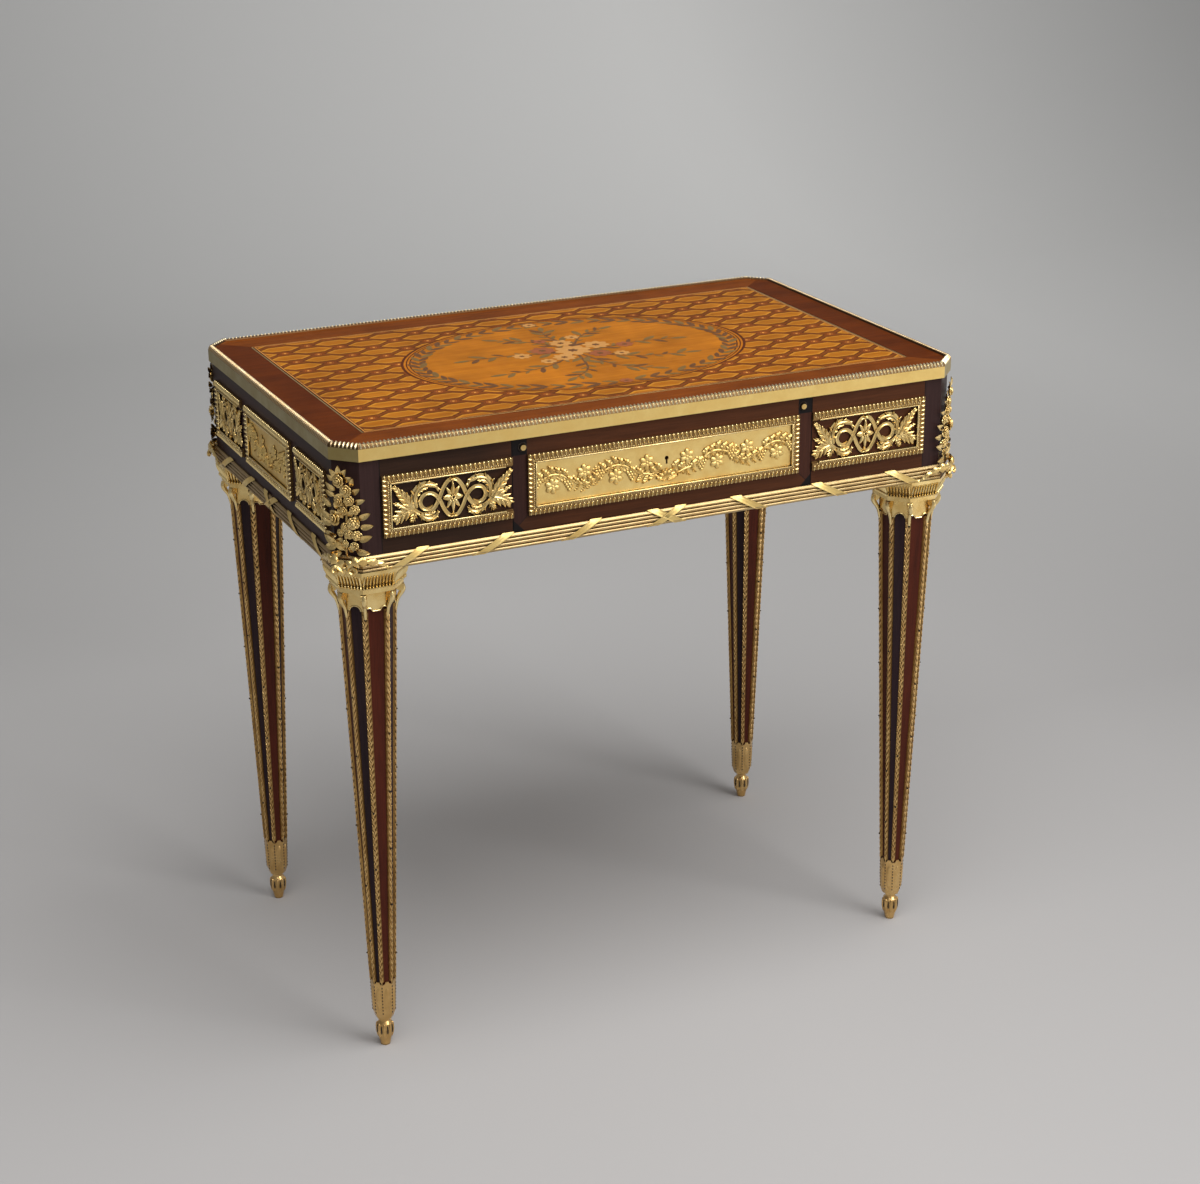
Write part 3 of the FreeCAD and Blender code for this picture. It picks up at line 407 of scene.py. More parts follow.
def fit(bm, name, material, body="stand", replaced=None):
    """Finishes a piece, puts it on its body and hides the part it stands in for."""
    bmesh.ops.recalc_face_normals(bm, faces=bm.faces)
    mesh = bpy.data.meshes.new(name)
    bm.to_mesh(mesh)
    bm.free()
    mesh.polygons.foreach_set("use_smooth", [True] * len(mesh.polygons))
    mesh.set_sharp_from_angle(angle=radians(50))
    mesh.materials.append(material)
    piece = bpy.data.objects.new(name, mesh)
    bpy.context.scene.collection.objects.link(piece)
    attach(piece, body)
    if replaced:
        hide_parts(replaced)


def drop_pattern(half_width, half_length, height, taper, around=8, rings=5):
    """A rounded drop whose upper end is drawn in to a point."""
    bm = bmesh.new()
    bmesh.ops.create_uvsphere(bm, u_segments=around, v_segments=rings, radius=1.0)
    for vert in bm.verts:
        narrow = 1.0 - taper * (vert.co.z + 1.0) / 2.0
        vert.co.x *= narrow
    bmesh.ops.scale(bm, vec=(half_width, height, half_length), verts=bm.verts)
    return casting(bm)


tip_pattern = drop_pattern(2.05, 3.5, 2.6, 0.55)
bead_pattern = drop_pattern(0.95, 1.25, 1.1, 0.0, 6, 4)


def edge_places(low, high, pitch):
    """Even steps between two ends, as near the pitch as goes in a whole number."""
    count = max(1, round((high - low) / pitch))
    return [low + (high - low) * (step + 0.5) / count for step in range(count)]


def rim_bar(bm, side, left, right, low, high):
    """A straight square fillet on a frame, from corner to corner."""
    bar = bmesh.new()
    bmesh.ops.create_cube(bar, size=1.0)
    bmesh.ops.scale(bar, vec=(right - left, 2.0, high - low), verts=bar.verts)
    bmesh.ops.bevel(bar, geom=bar.edges[:], offset=0.3, affect="EDGES", segments=1, profile=0.5)
    cast(bm, casting(bar), on_face(side, (left + right) / 2, (low + high) / 2, 3.6))


def frame_ornament(bm, side, left, right, uprights):
    """Leaf tips, beads and an inner fillet for one frame; uprights names the ends that have one."""
    for across in edge_places(left, right, tip_pitch):
        cast(bm, tip_pattern, on_face(side, across, frame_high - tip_inset, 3.0, 172))
        cast(bm, tip_pattern, on_face(side, across, frame_low + tip_inset, 3.0, 8))
    for across in edge_places(left + 5, right - 5, bead_pitch):
        for up in (frame_high - bead_inset, frame_low + bead_inset):
            cast(bm, bead_pattern, on_face(side, across, up, 2.9))
    for low in (frame_low + fillet_inset, frame_high - fillet_inset - fillet_width):
        rim_bar(bm, side, left + fillet_inset, right - fillet_inset, low, low + fillet_width)
    for end, spin, inward in ((left, 98, 1), (right, -98, -1)):
        if end in uprights:
            for up in edge_places(frame_low + 2.5, frame_high - 2.5, tip_pitch):
                cast(bm, tip_pattern, on_face(side, end + tip_inset * inward, up, 3.0, spin))
            for up in edge_places(frame_low + bead_inset, frame_high - bead_inset, bead_pitch):
                cast(bm, bead_pattern, on_face(side, end + bead_inset * inward, up, 2.9))
            edges = sorted(end + inset * inward for inset in (fillet_inset, fillet_inset + fillet_width))
            rim_bar(bm, side, *edges, frame_low + fillet_inset, frame_high - fillet_inset)


bm = bmesh.new()
for side, near, far in bays:
    frame_ornament(bm, side, -far, -near, (-far,))
    frame_ornament(bm, side, near, far, (far,))
fit(bm, "scroll_frame_leaf_tips", bright_gilt)
for name, body, sides in (("plaque_frame_leaf_tips", "stand", ("back", "left", "right")),
                          ("drawer_frame_leaf_tips", "drawer", ("front",))):
    bm = bmesh.new()
    for side in sides:
        end = plaque_ends[side]
        frame_ornament(bm, side, -end, end, (-end, end))
    fit(bm, name, bright_gilt, body)

# Scroll mounts: pierced casts of two crossing straps round a flower, that curl over and
# break into leaves at both ends. They are pinned on the veneer inside the side bays' frames.


def draw_rod(bm, points, thick, flat=1.0, sides=1, steps=5):
    """A bar of bronze along a smooth line; thick is its half width at each point."""
    line = bpy.data.curves.new("line", "CURVE")
    line.dimensions = "3D"
    spline = line.splines.new("NURBS")
    spline.points.add(len(points) - 1)
    for knot, point, width in zip(spline.points, points, thick):
        knot.co = (*point, 1.0)
        knot.radius = width
    spline.order_u = 3
    spline.use_endpoint_u = True
    line.bevel_depth = 1.0
    line.bevel_resolution = sides
    line.resolution_u = steps
    line.use_fill_caps = True
    holder = bpy.data.objects.new("line", line)
    mesh = bpy.data.meshes.new_from_object(holder)
    mesh.transform(sized(1.0, flat, 1.0))
    bm.from_mesh(mesh)
    bpy.data.meshes.remove(mesh)
    bpy.data.objects.remove(holder)
    bpy.data.curves.remove(line)


def flat_path(points, lift=0.0):
    """Points on the face, given as across and up."""
    return [(across, -lift, up) for across, up in points]


def smooth_line(points, count):
    """Even steps along a smooth line through the points."""
    knots = [Vector(point) for point in points]
    knots = [knots[0] * 2 - knots[1], *knots, knots[-1] * 2 - knots[-2]]
    line = []
    for step in range(count):
        place = step / (count - 1) * (len(knots) - 3)
        index = min(int(place), len(knots) - 4)
        t = place - index
        a, b, c, d = knots[index:index + 4]
        bend = 2 * b + (c - a) * t + (2 * a - 5 * b + 4 * c - d) * t ** 2
        line.append((bend + (3 * b - a - 3 * c + d) * t ** 3) / 2)
    return line


def sheet(bm, spine, count, shape, thick=0.9):
    """A strip of metal beaten to shape along a line. The shape gives, for a share of the
    length and a place from -1 to 1 across it, how far a point lies across, ahead and out."""
    line = smooth_line(spine, count)
    strip = bmesh.new()
    bmesh.ops.create_grid(strip, x_segments=6, y_segments=count - 1, size=1.0)
    for vert in strip.verts:
        step = round((vert.co.y + 1) / 2 * (count - 1))
        ahead = (line[min(step + 1, count - 1)] - line[max(step - 1, 0)]).normalized()
        side = ahead.cross(Vector((0, -1, 0))).normalized()
        across, forward, out = shape(step / (count - 1), vert.co.x)
        vert.co = line[step] + side * across + ahead * forward + side.cross(ahead) * out
    bmesh.ops.recalc_face_normals(strip, faces=strip.faces)
    bmesh.ops.solidify(strip, geom=strip.faces[:], thickness=thick)
    cast(bm, casting(strip), Matrix.Identity(4))


def acanthus(bm, spine, width, lobes, rise=1.3, lean=0.45, foot=0.45):
    """A chased leaf whose lobes point forward on both sides of a sunk rib."""

    def shape(share, place):
        lobe = abs(sin(pi * lobes * share))
        envelope = foot * (1 - share) + (1 - foot) * sin(pi * min(1.0, 0.15 + 0.85 * share)) ** 0.6
        reach = width * envelope * (0.38 + 0.62 * lobe)
        out = rise * (1 - 0.8 * place * place) * (0.35 + 0.65 * envelope)
        out -= 1.2 * (1 - lobe) * abs(place) + (0.9 if abs(place) < 0.1 else 0.0)
        return place * reach, lean * abs(place) * reach, out

    sheet(bm, spine, lobes * 4 + 1, shape)


def strap(bm, points, lift, width, rise=1.9):
    """A flat band with raised edges."""

    def shape(share, place):
        taper = min(1.0, (1 - share) * 5 + 0.25)
        return place * width * taper, 0.0, rise - (0.8 if abs(place) < 0.5 else 0.0)

    sheet(bm, flat_path(points, lift), 40, shape, 1.3)


leaf_lobe = drop_pattern(1.0, 1.0, 1.0, 0.7, 8, 6)
flower_petal = drop_pattern(3.3, 5.6, 1.9, 0.6, 8, 6)


def lobed_leaf(bm, points, lift, reach, lobes, hands=(1, -1), splay=52.0):
    """A leaf of pointed lobes that fan out from a raised rib, the longest in its middle."""
    spine = flat_path(points, lift)
    line = smooth_line(spine, 2 * lobes + 1)
    rib = [tuple(point + Vector((0, -1.6, 0))) for point in line]
    draw_rod(bm, rib, [1.3] * (2 * lobes) + [0.5], 1.0, 1, 2)

    def blade(share, place):
        return place * reach * 0.5 * sin(pi * (0.2 + 0.75 * share)), 0.0, 0.9 - 0.5 * abs(place)

    sheet(bm, spine, 2 * lobes + 1, blade)
    for step in range(lobes):
        share = (step + 0.5) / lobes
        spot = line[2 * step + 1]
        ahead = line[2 * step + 2] - line[2 * step]
        heading = atan2(ahead.x, ahead.z)
        length = reach * (0.62 + 0.38 * sin(pi * min(1.0, 0.25 + share)))
        for hand in hands:
            turn = heading + hand * radians(splay - 22.0 * share)
            toward = Vector((sin(turn), 0, cos(turn)))
            place = Matrix.Translation(spot + toward * length * 0.5 + Vector((0, -0.9, 0)))
            place = place @ Matrix.Rotation(turn, 4, "Y") @ turned(9, "X")
            cast(bm, leaf_lobe, place @ sized(reach * 0.29, 2.0, length * 0.6))
    ahead = line[-1] - line[-2]
    heading = atan2(ahead.x, ahead.z)
    place = Matrix.Translation(line[-1] + Vector((0, -0.8, 0))) @ Matrix.Rotation(heading, 4, "Y")
    cast(bm, leaf_lobe, place @ sized(reach * 0.28, 1.8, reach * 0.42))


def scroll_pattern():
    """One pierced scroll mount about its own centre, 141 long and 49 high."""
    bm = bmesh.new()
    for turn in range(8):
        petal = turned(45 * turn, "Y") @ moved(0, -1.6, 6.4)
        tall = sized(1.0, 1.0, 1.5)
        cast(bm, flower_petal, tall @ petal @ sized(0.85 if turn % 2 else 1.0))
    for turn in range(8):
        spot = turned(45 * turn + 22, "Y") @ moved(0, -3.2, 2.3)
        cast(bm, bead_pattern, spot)
    for up in (1, -1):
        draw_rod(bm, flat_path([(0, 15.0 * up), (0, 17.0 * up), (0, 19 * up)], 1.2), [0.8, 1.6, 0.9])
        lobed_leaf(bm, [(0, 19.5 * up), (0, 22 * up)], 1.6, 4.2, 1, (1, -1), 95.0)
    half = bmesh.new()
    strap(half, [(0.5, -21), (-5.5, -19), (-11, -11), (-15, -2), (-20, 5), (-27, 8.5), (-34.5, 6.5),
                 (-38, -0.5), (-35, -7.5), (-28.5, -9.5), (-23, -6.5)], 0.4, 2.1)
    strap(half, [(0.5, 21), (-5.5, 19), (-11, 12), (-15, 3), (-19, -5), (-25, -12), (-34, -15),
                 (-43, -10), (-51, 0), (-60, 12), (-69, 22)], 0.0, 2.2)
    for points, *how in (
            ([(-42, -6), (-45, 5), (-40, 15), (-30, 18.5), (-20, 15.5), (-17.5, 11)], 0.4, 8.0, 6, (-1,)),
            ([(-42, -6), (-43, 5), (-38, 12.5), (-30, 14.5)], 0.2, 6.0, 4, (1,)),
            ([(-38, -14), (-34, -18), (-27, -20.5), (-20, -18.5), (-18.5, -14.5)], 0.4, 6.0, 5, (1,)),
            ([(-33, -15.5), (-27, -16), (-22, -13.5)], 0.2, 4.5, 3),
            ([(-47, -7), (-53, 3), (-60, 12), (-66, 19)], 1.0, 11.0, 5, (1, -1), 36.0),
            ([(-47, -7), (-55, -9.5), (-62, -13), (-65, -15.5)], 0.4, 12.0, 4, (1, -1), 50.0),
            ([(-44, -11), (-46, -16), (-48, -20)], 0.2, 6.5, 3),
            ([(-50, -3), (-59, -1.5), (-67, 2)], 0.0, 6.0, 3)):
        lobed_leaf(half, points, *how)
    one_side = casting(half)
    for mirror in (1, -1):
        cast(bm, one_side, sized(mirror, 1, 1))
    return casting(bm)


scroll_cast = scroll_pattern()
bay_middle = (frame_low + frame_high) / 2
bm = bmesh.new()
for side, middle, narrow in (("front", 258.9, 1.0), ("back", 258.9, 1.0),
                             ("left", 144.5, 0.635), ("right", 144.5, 0.635)):
    for across in (-middle, middle):
        cast(bm, scroll_cast, on_face(side, across, bay_middle, 0.6, 0, (narrow, 1.0, 1.0)))
fit(bm, "pierced_scroll_mounts", cast_gilt, replaced="scroll_mounts")

# Relief plaques: thin gilt plates chased in low relief with a running vine, its leaves,
# blossoms and bunches of fruit, behind the frames. The drawer's plaque holds the keyhole.
fruit = drop_pattern(1.9, 1.9, 1.3, 0.0, 8, 5)
relief_petal = drop_pattern(1.9, 3.4, 1.1, -0.3, 8, 5)


def relief_flower(bm, across, up, size, turn=0.0):
    """An open blossom with a raised eye."""
    for step in range(6):
        spot = moved(across, -0.6, up) @ Matrix.Rotation(turn + radians(60 * step), 4, "Y")
        cast(bm, relief_petal, spot @ sized(size) @ moved(0, -0.4, 3.4))
    cast(bm, fruit, moved(across, -1.3, up) @ sized(size * 0.8))


def relief_bunch(bm, across, up, size):
    """Hanging fruit, heaped over a pair of leaves."""
    for row in range(4):
        for one in range(4 - row):
            beside = across + (one - (3 - row) / 2) * 3.3 * size
            spot = moved(beside, -1.0 - 0.3 * (row % 2), up - row * 2.9 * size)
            cast(bm, fruit, spot @ sized(size))
    for side in (1, -1):
        spine = [(across, -0.2, up + 2), (across + side * 5 * size, -0.4, up + 4 * size),
                 (across + side * 10 * size, -0.3, up + 1 * size)]
        acanthus(bm, spine, 3.2 * size, 3, 1.2)


def vine_relief(bm, side, half_length):
    """A vine in low relief that runs out from a central tuft to both ends of a plaque."""
    waves = max(2, round(half_length / 38))
    pitch = (half_length - 6) / waves
    flat = bmesh.new()
    for mirror in (1, -1):
        path = [(mirror * 6, -0.6, -16)]
        for wave in range(waves):
            sway = 1 if wave % 2 else -1
            start = 6 + wave * pitch
            path.append((mirror * (start + pitch * 0.3), -0.6, 9 * sway))
            path.append((mirror * (start + pitch * 0.8), -0.6, 6 * sway))
            relief_flower(flat, mirror * (start + pitch * 0.5), -5.5 * sway, 1.4, wave)
            relief_bunch(flat, mirror * (start + pitch * 0.98), 4 if wave % 2 else -3, 1.05)
            for leaf in range(5):
                share = (leaf + 0.3) / 5
                across = mirror * (start + pitch * share)
                up = sway * (10 - 2.5 * abs(leaf - 2))
                for over in (1, -1):
                    tip = (across + mirror * 6.5, -0.3, up + over * 7.5)
                    middle = (across + mirror * 2.2, -0.5, up + over * 4.2)
                    acanthus(flat, [(across, -0.3, up), middle, tip], 3.3, 3)
        path.append((mirror * (half_length - 6), -0.6, 0))
        draw_rod(flat, path, [1.2] * (len(path) - 1) + [0.4], 1.0, 1, 8)
    for leaf in range(7):
        angle = radians(-75 + 25 * leaf)
        tip = (13 * sin(angle), -0.4, -18 + 12 * cos(angle))
        middle = (8 * sin(angle), -0.8, -18 + 8 * cos(angle))
        acanthus(flat, [(0, -0.3, -18), middle, tip], 3.0, 3)
    cast(bm, casting(flat), on_face(side, 0, bay_middle, 1.2))


for name, body, sides in (("drawer_plaque_relief", "drawer", ("front",)),
                          ("side_plaque_relief", "stand", ("back", "left", "right"))):
    bm = bmesh.new()
    for side in sides:
        vine_relief(bm, side, plaque_ends[side] - 10.0)
    fit(bm, name, matt_gilt, body)

# Corner garlands: roses, buds and leaves cast in the round and wired down each canted
# corner, over two curling leaves that sit on the reeded moulding.
rose_petal = drop_pattern(3.4, 3.2, 1.5, -0.25, 8, 5)


def rose_pattern():
    """A full rose: three rings of cupped petals round a bud."""
    bm = bmesh.new()
    for ring, (count, reach, tilt, out, size) in enumerate(
            ((6, 4.6, 18, 1.2, 1.0), (5, 2.9, 48, 2.6, 0.85), (4, 1.4, 70, 3.7, 0.6))):
        for step in range(count):
            turn = turned(360 / count * step + 25 * ring, "Y")
            lean = turned(tilt, "X")
            cast(bm, rose_petal, turn @ moved(0, -out, reach) @ lean @ sized(size))
    cast(bm, fruit, moved(0, -4.4, 0))
    return casting(bm)


def leaf_pattern():
    """A pointed leaf, folded a little along its rib and bent back at its tip."""
    bm = bmesh.new()
    bmesh.ops.create_grid(bm, x_segments=4, y_segments=7, size=1.0)
    for vert in bm.verts:
        share = (vert.co.y + 1) / 2
        width = 3.2 * sin(pi * share ** 0.8) ** 0.8 + 0.25
        across = vert.co.x
        vert.co = Vector((across * width, -1.6 * sin(pi * share) - 1.1 * abs(across), 13.5 * share))
    bmesh.ops.solidify(bm, geom=bm.faces[:], thickness=0.7)
    return casting(bm)


rose_cast = rose_pattern()
leaf_cast = leaf_pattern()


def garland_pattern():
    """The pendant for one corner, flat on the canted face, its foot at the reeded moulding."""
    bm = bmesh.new()
    roses = [(6, 103, 1.0), (-2, 93, 0.9), (-5, 82, 0.8), (7, 80, 0.8), (-11, 72, 0.75), (2, 70, 0.7),
             (12, 61, 1.2), (-9, 57, 0.95), (0, 52, 0.7), (-4, 44, 0.7), (6, 45, 0.6), (-12, 43, 0.75),
             (-9, 31, 0.65), (1, 33, 0.6)]
    for across, up, size in roses:
        out = 2.5 + 2.5 * cos(across / 11)
        place = moved(across, -out, up) @ turned(across * 2.2, "Z")
        cast(bm, rose_cast, place @ Matrix.Rotation(across + up, 4, "Y") @ sized(size))
    leaves = [(5, 108, 0, 1.0), (3, 108, -38, 0.9), (8, 107, 38, 0.9), (0, 104, -66, 0.9),
              (11, 104, 66, 0.8), (12, 92, 52, 1.0), (13, 86, 66, 0.9), (-9, 90, -55, 0.9),
              (-12, 80, -70, 0.9), (18, 73, 52, 1.15), (20, 76, 30, 0.8), (19, 59, 66, 1.25),
              (18, 53, 84, 1.1), (-16, 62, -60, 1.0), (-17, 52, -80, 1.0), (13, 40, 75, 1.1),
              (15, 36, 50, 0.9), (12, 30, 105, 1.2), (-15, 38, -70, 1.1), (-12, 26, -100, 1.1),
              (3, 26, 40, 1.1), (12, 32, 62, 1.35), (7, 22, 100, 1.0), (-3, 25, -50, 1.0),
              (3, 62, 20, 0.9), (-4, 64, -40, 0.9), (5, 38, 130, 0.8), (-6, 50, 160, 0.8),
              (9, 71, 10, 0.8), (-12, 66, 200, 0.8), (2, 87, 100, 0.8), (1, 76, 60, 0.8),
              (-8, 98, -20, 0.8)]
    for across, up, spin, size in leaves:
        out = 1.5 + 2.0 * cos(across / 12)
        place = moved(across, -out, up) @ turned(spin, "Y")
        cast(bm, leaf_cast, place @ turned(14, "X") @ sized(size))
    draw_rod(bm, [(1, -2, 16), (3, -3, 40), (-3, -3, 70), (4, -3, 100)], [1.2, 1.4, 1.3, 0.8], 1.0)
    draw_rod(bm, [(1, -3, 24), (8, -4, 27), (15, -2, 33)], [0.9, 0.8, 0.5], 1.0)
    for side in (1, -1):
        base = [(side * 4, -7, -2), (side * 6, -10, 9), (side * 14, -11, 15), (side * 25, -8, 14),
                (side * 35, -3, 9), (side * 42, 0, 2)]
        acanthus(bm, base, 9.5, 7, 4.0, 0.3, 0.75)
        curl = [(side * 3, -10, 1), (side * 9, -13, 10), (side * 15, -14, 6), (side * 11, -15, 0),
                (side * 7, -15, 4)]
        draw_rod(bm, curl, [2.2, 2.6, 2.3, 1.9, 1.4], 1.0, 1, 5)
    for vert in bm.verts:
        past = max(0.0, abs(vert.co.x) - 16.0)
        vert.co.y += past * 0.6
    return casting(bm)


garland_cast = garland_pattern()
corner_x, corner_y = 377.5, 231.5
bm = bmesh.new()
for turn, across in ((45, 1), (135, -1), (-45, -1), (-135, 1)):
    direction = turned(turn, "Z")
    outward = direction @ Vector((0, -1, 0))
    corner = Vector((copysign(corner_x, outward.x), copysign(corner_y, outward.y), leg_top))
    place = in_metres @ Matrix.Translation(corner - outward * 3.5) @ direction
    cast(bm, garland_cast, place @ sized(across, 1, 1))
fit(bm, "corner_flower_garlands", cast_gilt, replaced="corner_garlands")

# Ribbon: a flat gilt ribbon is wound round the reeded moulding, crossing itself at the
# middle of each face; it was soldered on and matted, with bright edges.
ribbon_width = 14.0
ribbon_run = 36.0
reed_foot, reed_height = 605.2, 19.6


def ribbon_wrap(bm, side, across, lean):
    """One turn of the ribbon over the reeds, leaning to one side."""
    grid = bmesh.new()
    bmesh.ops.create_grid(grid, x_segments=6, y_segments=16, size=1.0)
    for vert in grid.verts:
        share = (vert.co.y + 1) / 2
        swell = sin(pi * share) ** 0.5
        edge = 0.5 if abs(vert.co.x) > 0.9 else 0.0
        left = lean * (share - 0.5) * ribbon_run + vert.co.x * ribbon_width / 2
        vert.co = Vector((left, -1.2 - 3.2 * swell - edge, reed_foot + reed_height * share))
    bmesh.ops.solidify(grid, geom=grid.faces[:], thickness=-0.9)
    cast(bm, casting(grid), on_face(side, across, 0))


bm = bmesh.new()
for side, places in (("front", (106, 213, 313)), ("back", (106, 213, 313)),
                     ("left", (86, 170)), ("right", (86, 170))):
    for across in places:
        ribbon_wrap(bm, side, -across, 1)
        ribbon_wrap(bm, side, across, -1)
    for lean in (1, -1):
        ribbon_wrap(bm, side, 0, lean)
fit(bm, "reed_ribbon", matt_gilt)

# Capitals: the leaf band has a row of upright leaves under the square edge, with a bead
# below them, and a rolled leaf at each arris; the apron's scalloped rim is polished.
leg_x, leg_y = 346.5, 200.0
leg_foot, leg_foot_width, leg_top_width = 88.0, 23.5, 57.0
cant_share = 0.265
scallop_foot, rim_thickness = 555, 0.8


def leg_half(height):
    """Half the octagon's width at a height."""
    share = (height - leg_foot) / (leg_top - leg_foot)
    return (leg_foot_width + (leg_top_width - leg_foot_width) * share) / 2


def to_side(angle):
    """Turns a casting made on a leg's front towards one of its sides."""
    return Matrix.Rotation(angle + pi / 2, 4, "Z")


def scallop(bm, middle, out, half, rise, start, steps):
    """The rim of one scallop, a thin rod over an arc."""
    arc = [radians(start + (180 - 2 * start) * step / steps) for step in range(steps + 1)]
    points = [(middle + half * cos(angle), -out, scallop_foot + rise * sin(angle)) for angle in arc]
    draw_rod(bm, points, [rim_thickness] * len(arc), 1.0, 1, 2)


def octagon_sides(half):
    """The middle, direction and length of each of the leg's eight sides."""
    sides = []
    for step in range(8):
        angle = radians(45 * step)
        if step % 2:
            out = half * (2 - 2 * cant_share) / sqrt(2)
            length = half * 2 * cant_share * sqrt(2)
        else:
            out = half
            length = half * 2 * (1 - 2 * cant_share)
        sides.append((angle, out, length))
    return sides


def fit_on_legs(pattern, name, material):
    """Casts a pattern, made about a leg's own axis, at all four legs and fits it as one piece."""
    pattern = casting(pattern)
    bm = bmesh.new()
    for x in (-leg_x, leg_x):
        for y in (-leg_y, leg_y):
            cast(bm, pattern, in_metres @ moved(x, y, 0))
    fit(bm, name, material)


upright_leaf = drop_pattern(1.75, 8.4, 2.7, 0.3, 6, 6)
leaf_end = drop_pattern(1.4, 2.6, 2.6, 0.2, 6, 4)
capital = bmesh.new()
for angle, out, length in octagon_sides(39.5):
    turn = to_side(angle)
    for across in edge_places(-length / 2, length / 2, 3.9):
        lean = turned(22, "X")
        cast(capital, upright_leaf, turn @ moved(across, -out - 0.3, 594.6) @ lean)
        cast(capital, leaf_end, turn @ moved(across, -out + 1.0, 586.8))
for step in range(8):
    angle = radians(24 if step % 2 else -24) + radians(90 * ((step + 1) // 2))
    turn = to_side(angle)
    tongue = bmesh.new()
    spine = [(0, -30.8, 547), (0, -32.2, 556), (0, -34.8, 562.5), (0, -38.0, 567), (0, -39.9, 572),
             (0, -38.6, 577)]
    draw_rod(tongue, spine, [1.7, 2.0, 2.5, 3.1, 3.5, 2.7], 1.0, 2, 4)
    cast(capital, casting(tongue), turn)
for angle, out, length in octagon_sides(leg_half(557.0) + 2.5):
    turn = to_side(angle)
    rim = bmesh.new()
    if abs(sin(2 * angle)) < 0.5:
        for middle in (-9, 9):
            scallop(rim, middle, out, 4.7, 4.9, 15, 6)
        bridge = [(-4.6, -out, 556), (0, -out, 555.4), (4.6, -out, 556)]
        draw_rod(rim, bridge, [rim_thickness] * 3, 1.0, 1, 2)
    else:
        scallop(rim, 0, out, 7.1, 7.3, 10, 8)
    cast(capital, casting(rim), turn)
fit_on_legs(capital, "capital_leaves", bright_gilt)

# Arris strips: a thin strip of gilt laurel runs down every arris of each leg, held by
# small pins whose dark heads show here and there.
laurel_leaf = drop_pattern(1.75, 5.6, 1.1, 0.75, 6, 5)
strip_low, strip_high = 89.0, 554.0
leaf_pitch = 8.0
laurel = bmesh.new()
pins = bmesh.new()
for step in range(8):
    side = 1 if step % 2 else -1
    turn = to_side(radians(90 * (step // 2)))
    count = int((strip_high - strip_low) / leaf_pitch)
    for leaf in range(count):
        height = strip_low + leaf_pitch * (leaf + 0.5)
        half = leg_half(height) + 1.7
        size = 0.78 + 0.32 * (height - strip_low) / (strip_high - strip_low)
        corner = moved(side * half * (1 - 2 * cant_share), -half, height)
        ridge = turn @ corner @ turned(22.5 * side, "Z")
        for hand in (1, -1):
            slope = turned(22.5 * hand, "Z")
            lean = turned(17 * hand, "Y")
            shift = leaf_pitch / 4 * hand
            place = ridge @ slope @ moved(hand * 1.35 * size, -0.2, shift) @ lean
            cast(laurel, laurel_leaf, place @ sized(size))
    for pin in range(5):
        height = 120 + 95 * pin + 23 * ((step * 5 + pin * 3) % 4)
        half = leg_half(height) + 2.6
        corner = moved(side * half * (1 - 2 * cant_share), -half, height)
        cast(pins, bead_pattern, turn @ corner)
fit_on_legs(laurel, "laurel_strips", leg_gilt)
pin_and_shade_dark, tree, shader = new_material("dark pin heads and shade marks")
wear = gilding(tree, (0.05, 0.035, 0.025), (0.02, 0.015, 0.012))[0]
feed(shader, Base_Color=wear, Metallic=0.6, Roughness=0.45)
fit_on_legs(pins, "strip_pins", pin_and_shade_dark)

# Sabots: the shoes are chased with a long leaf on each facet, and the turned foot below
# has upright gadroons round its bulb. Dark castings between the gadroons and in dashes down
# the arrises are painted shade.
facet_leaf = drop_pattern(2.9, 17.0, 1.7, -0.3, 8, 7)
gadroon = drop_pattern(2.9, 10.4, 2.4, 0.2, 8, 7)
dark_slot = drop_pattern(1.0, 5.6, 1.2, 0.0, 6, 5)
arris_dash = drop_pattern(0.8, 1.5, 0.8, 0.0, 6, 4)
sabot = bmesh.new()
# Painted shade: these dark slots and dashes stand for the shade in the chasing's hollows.
shade_marks = bmesh.new()
for angle, out, length in octagon_sides(leg_half(64.0) + 1.9):
    turn = to_side(angle)
    lean = turned(1.8, "X")
    cast(sabot, facet_leaf, turn @ moved(0, -out + 0.2, 63.0) @ lean @ sized(length / 9.5, 1, 1))
for step in range(8):
    arris = radians(90 * (step // 2) + (25.2 if step % 2 else -25.2))
    turn = to_side(arris)
    for dash in range(9):
        height = 46.5 + 4.3 * dash
        reach = (leg_half(height) + 1.9) * 1.105
        cast(shade_marks, arris_dash, turn @ moved(0, -reach + 0.35, height))
    tip = turn @ moved(0, -(leg_half(leg_foot) + 1.7) * 1.105 + 0.6, 88.5) @ turned(180, "Y")
    cast(sabot, laurel_leaf, tip)
    turn = turned(45 * step + 22.5, "Z")
    cast(sabot, gadroon, turn @ moved(0, -8.3, 19.2) @ turned(4, "X"))
    turn = turned(45 * step, "Z")
    cast(shade_marks, dark_slot, turn @ moved(0, -9.3, 21.5))
fit_on_legs(sabot, "sabot_leaves", leg_gilt)
fit_on_legs(shade_marks, "sabot_shade_marks", pin_and_shade_dark)

# The top: a trellis of hexagonal cells with small rosettes at its crossings, laid round an
# oval panel, inside a red-brown border with fine strings; veneer on oak, under polish.
cell_step_x, cell_step_y = 35.0, 21.4
cell_half_length, cell_half_height = 26.2, 10.7
cell_slope, slant_length = 1.36, 1.69
oval_x, oval_y = 216.0, 155.0
field_x, field_y = 342.0, 196.0
rosette_radius = 6.4
string_inset = 4.6
veneer_foot = 0.7468


def smaller(first, second):
    return first.reckon("MINIMUM", second)


off, on = (0.0, 0.0, 0.0), (1.0, 1.0, 1.0)


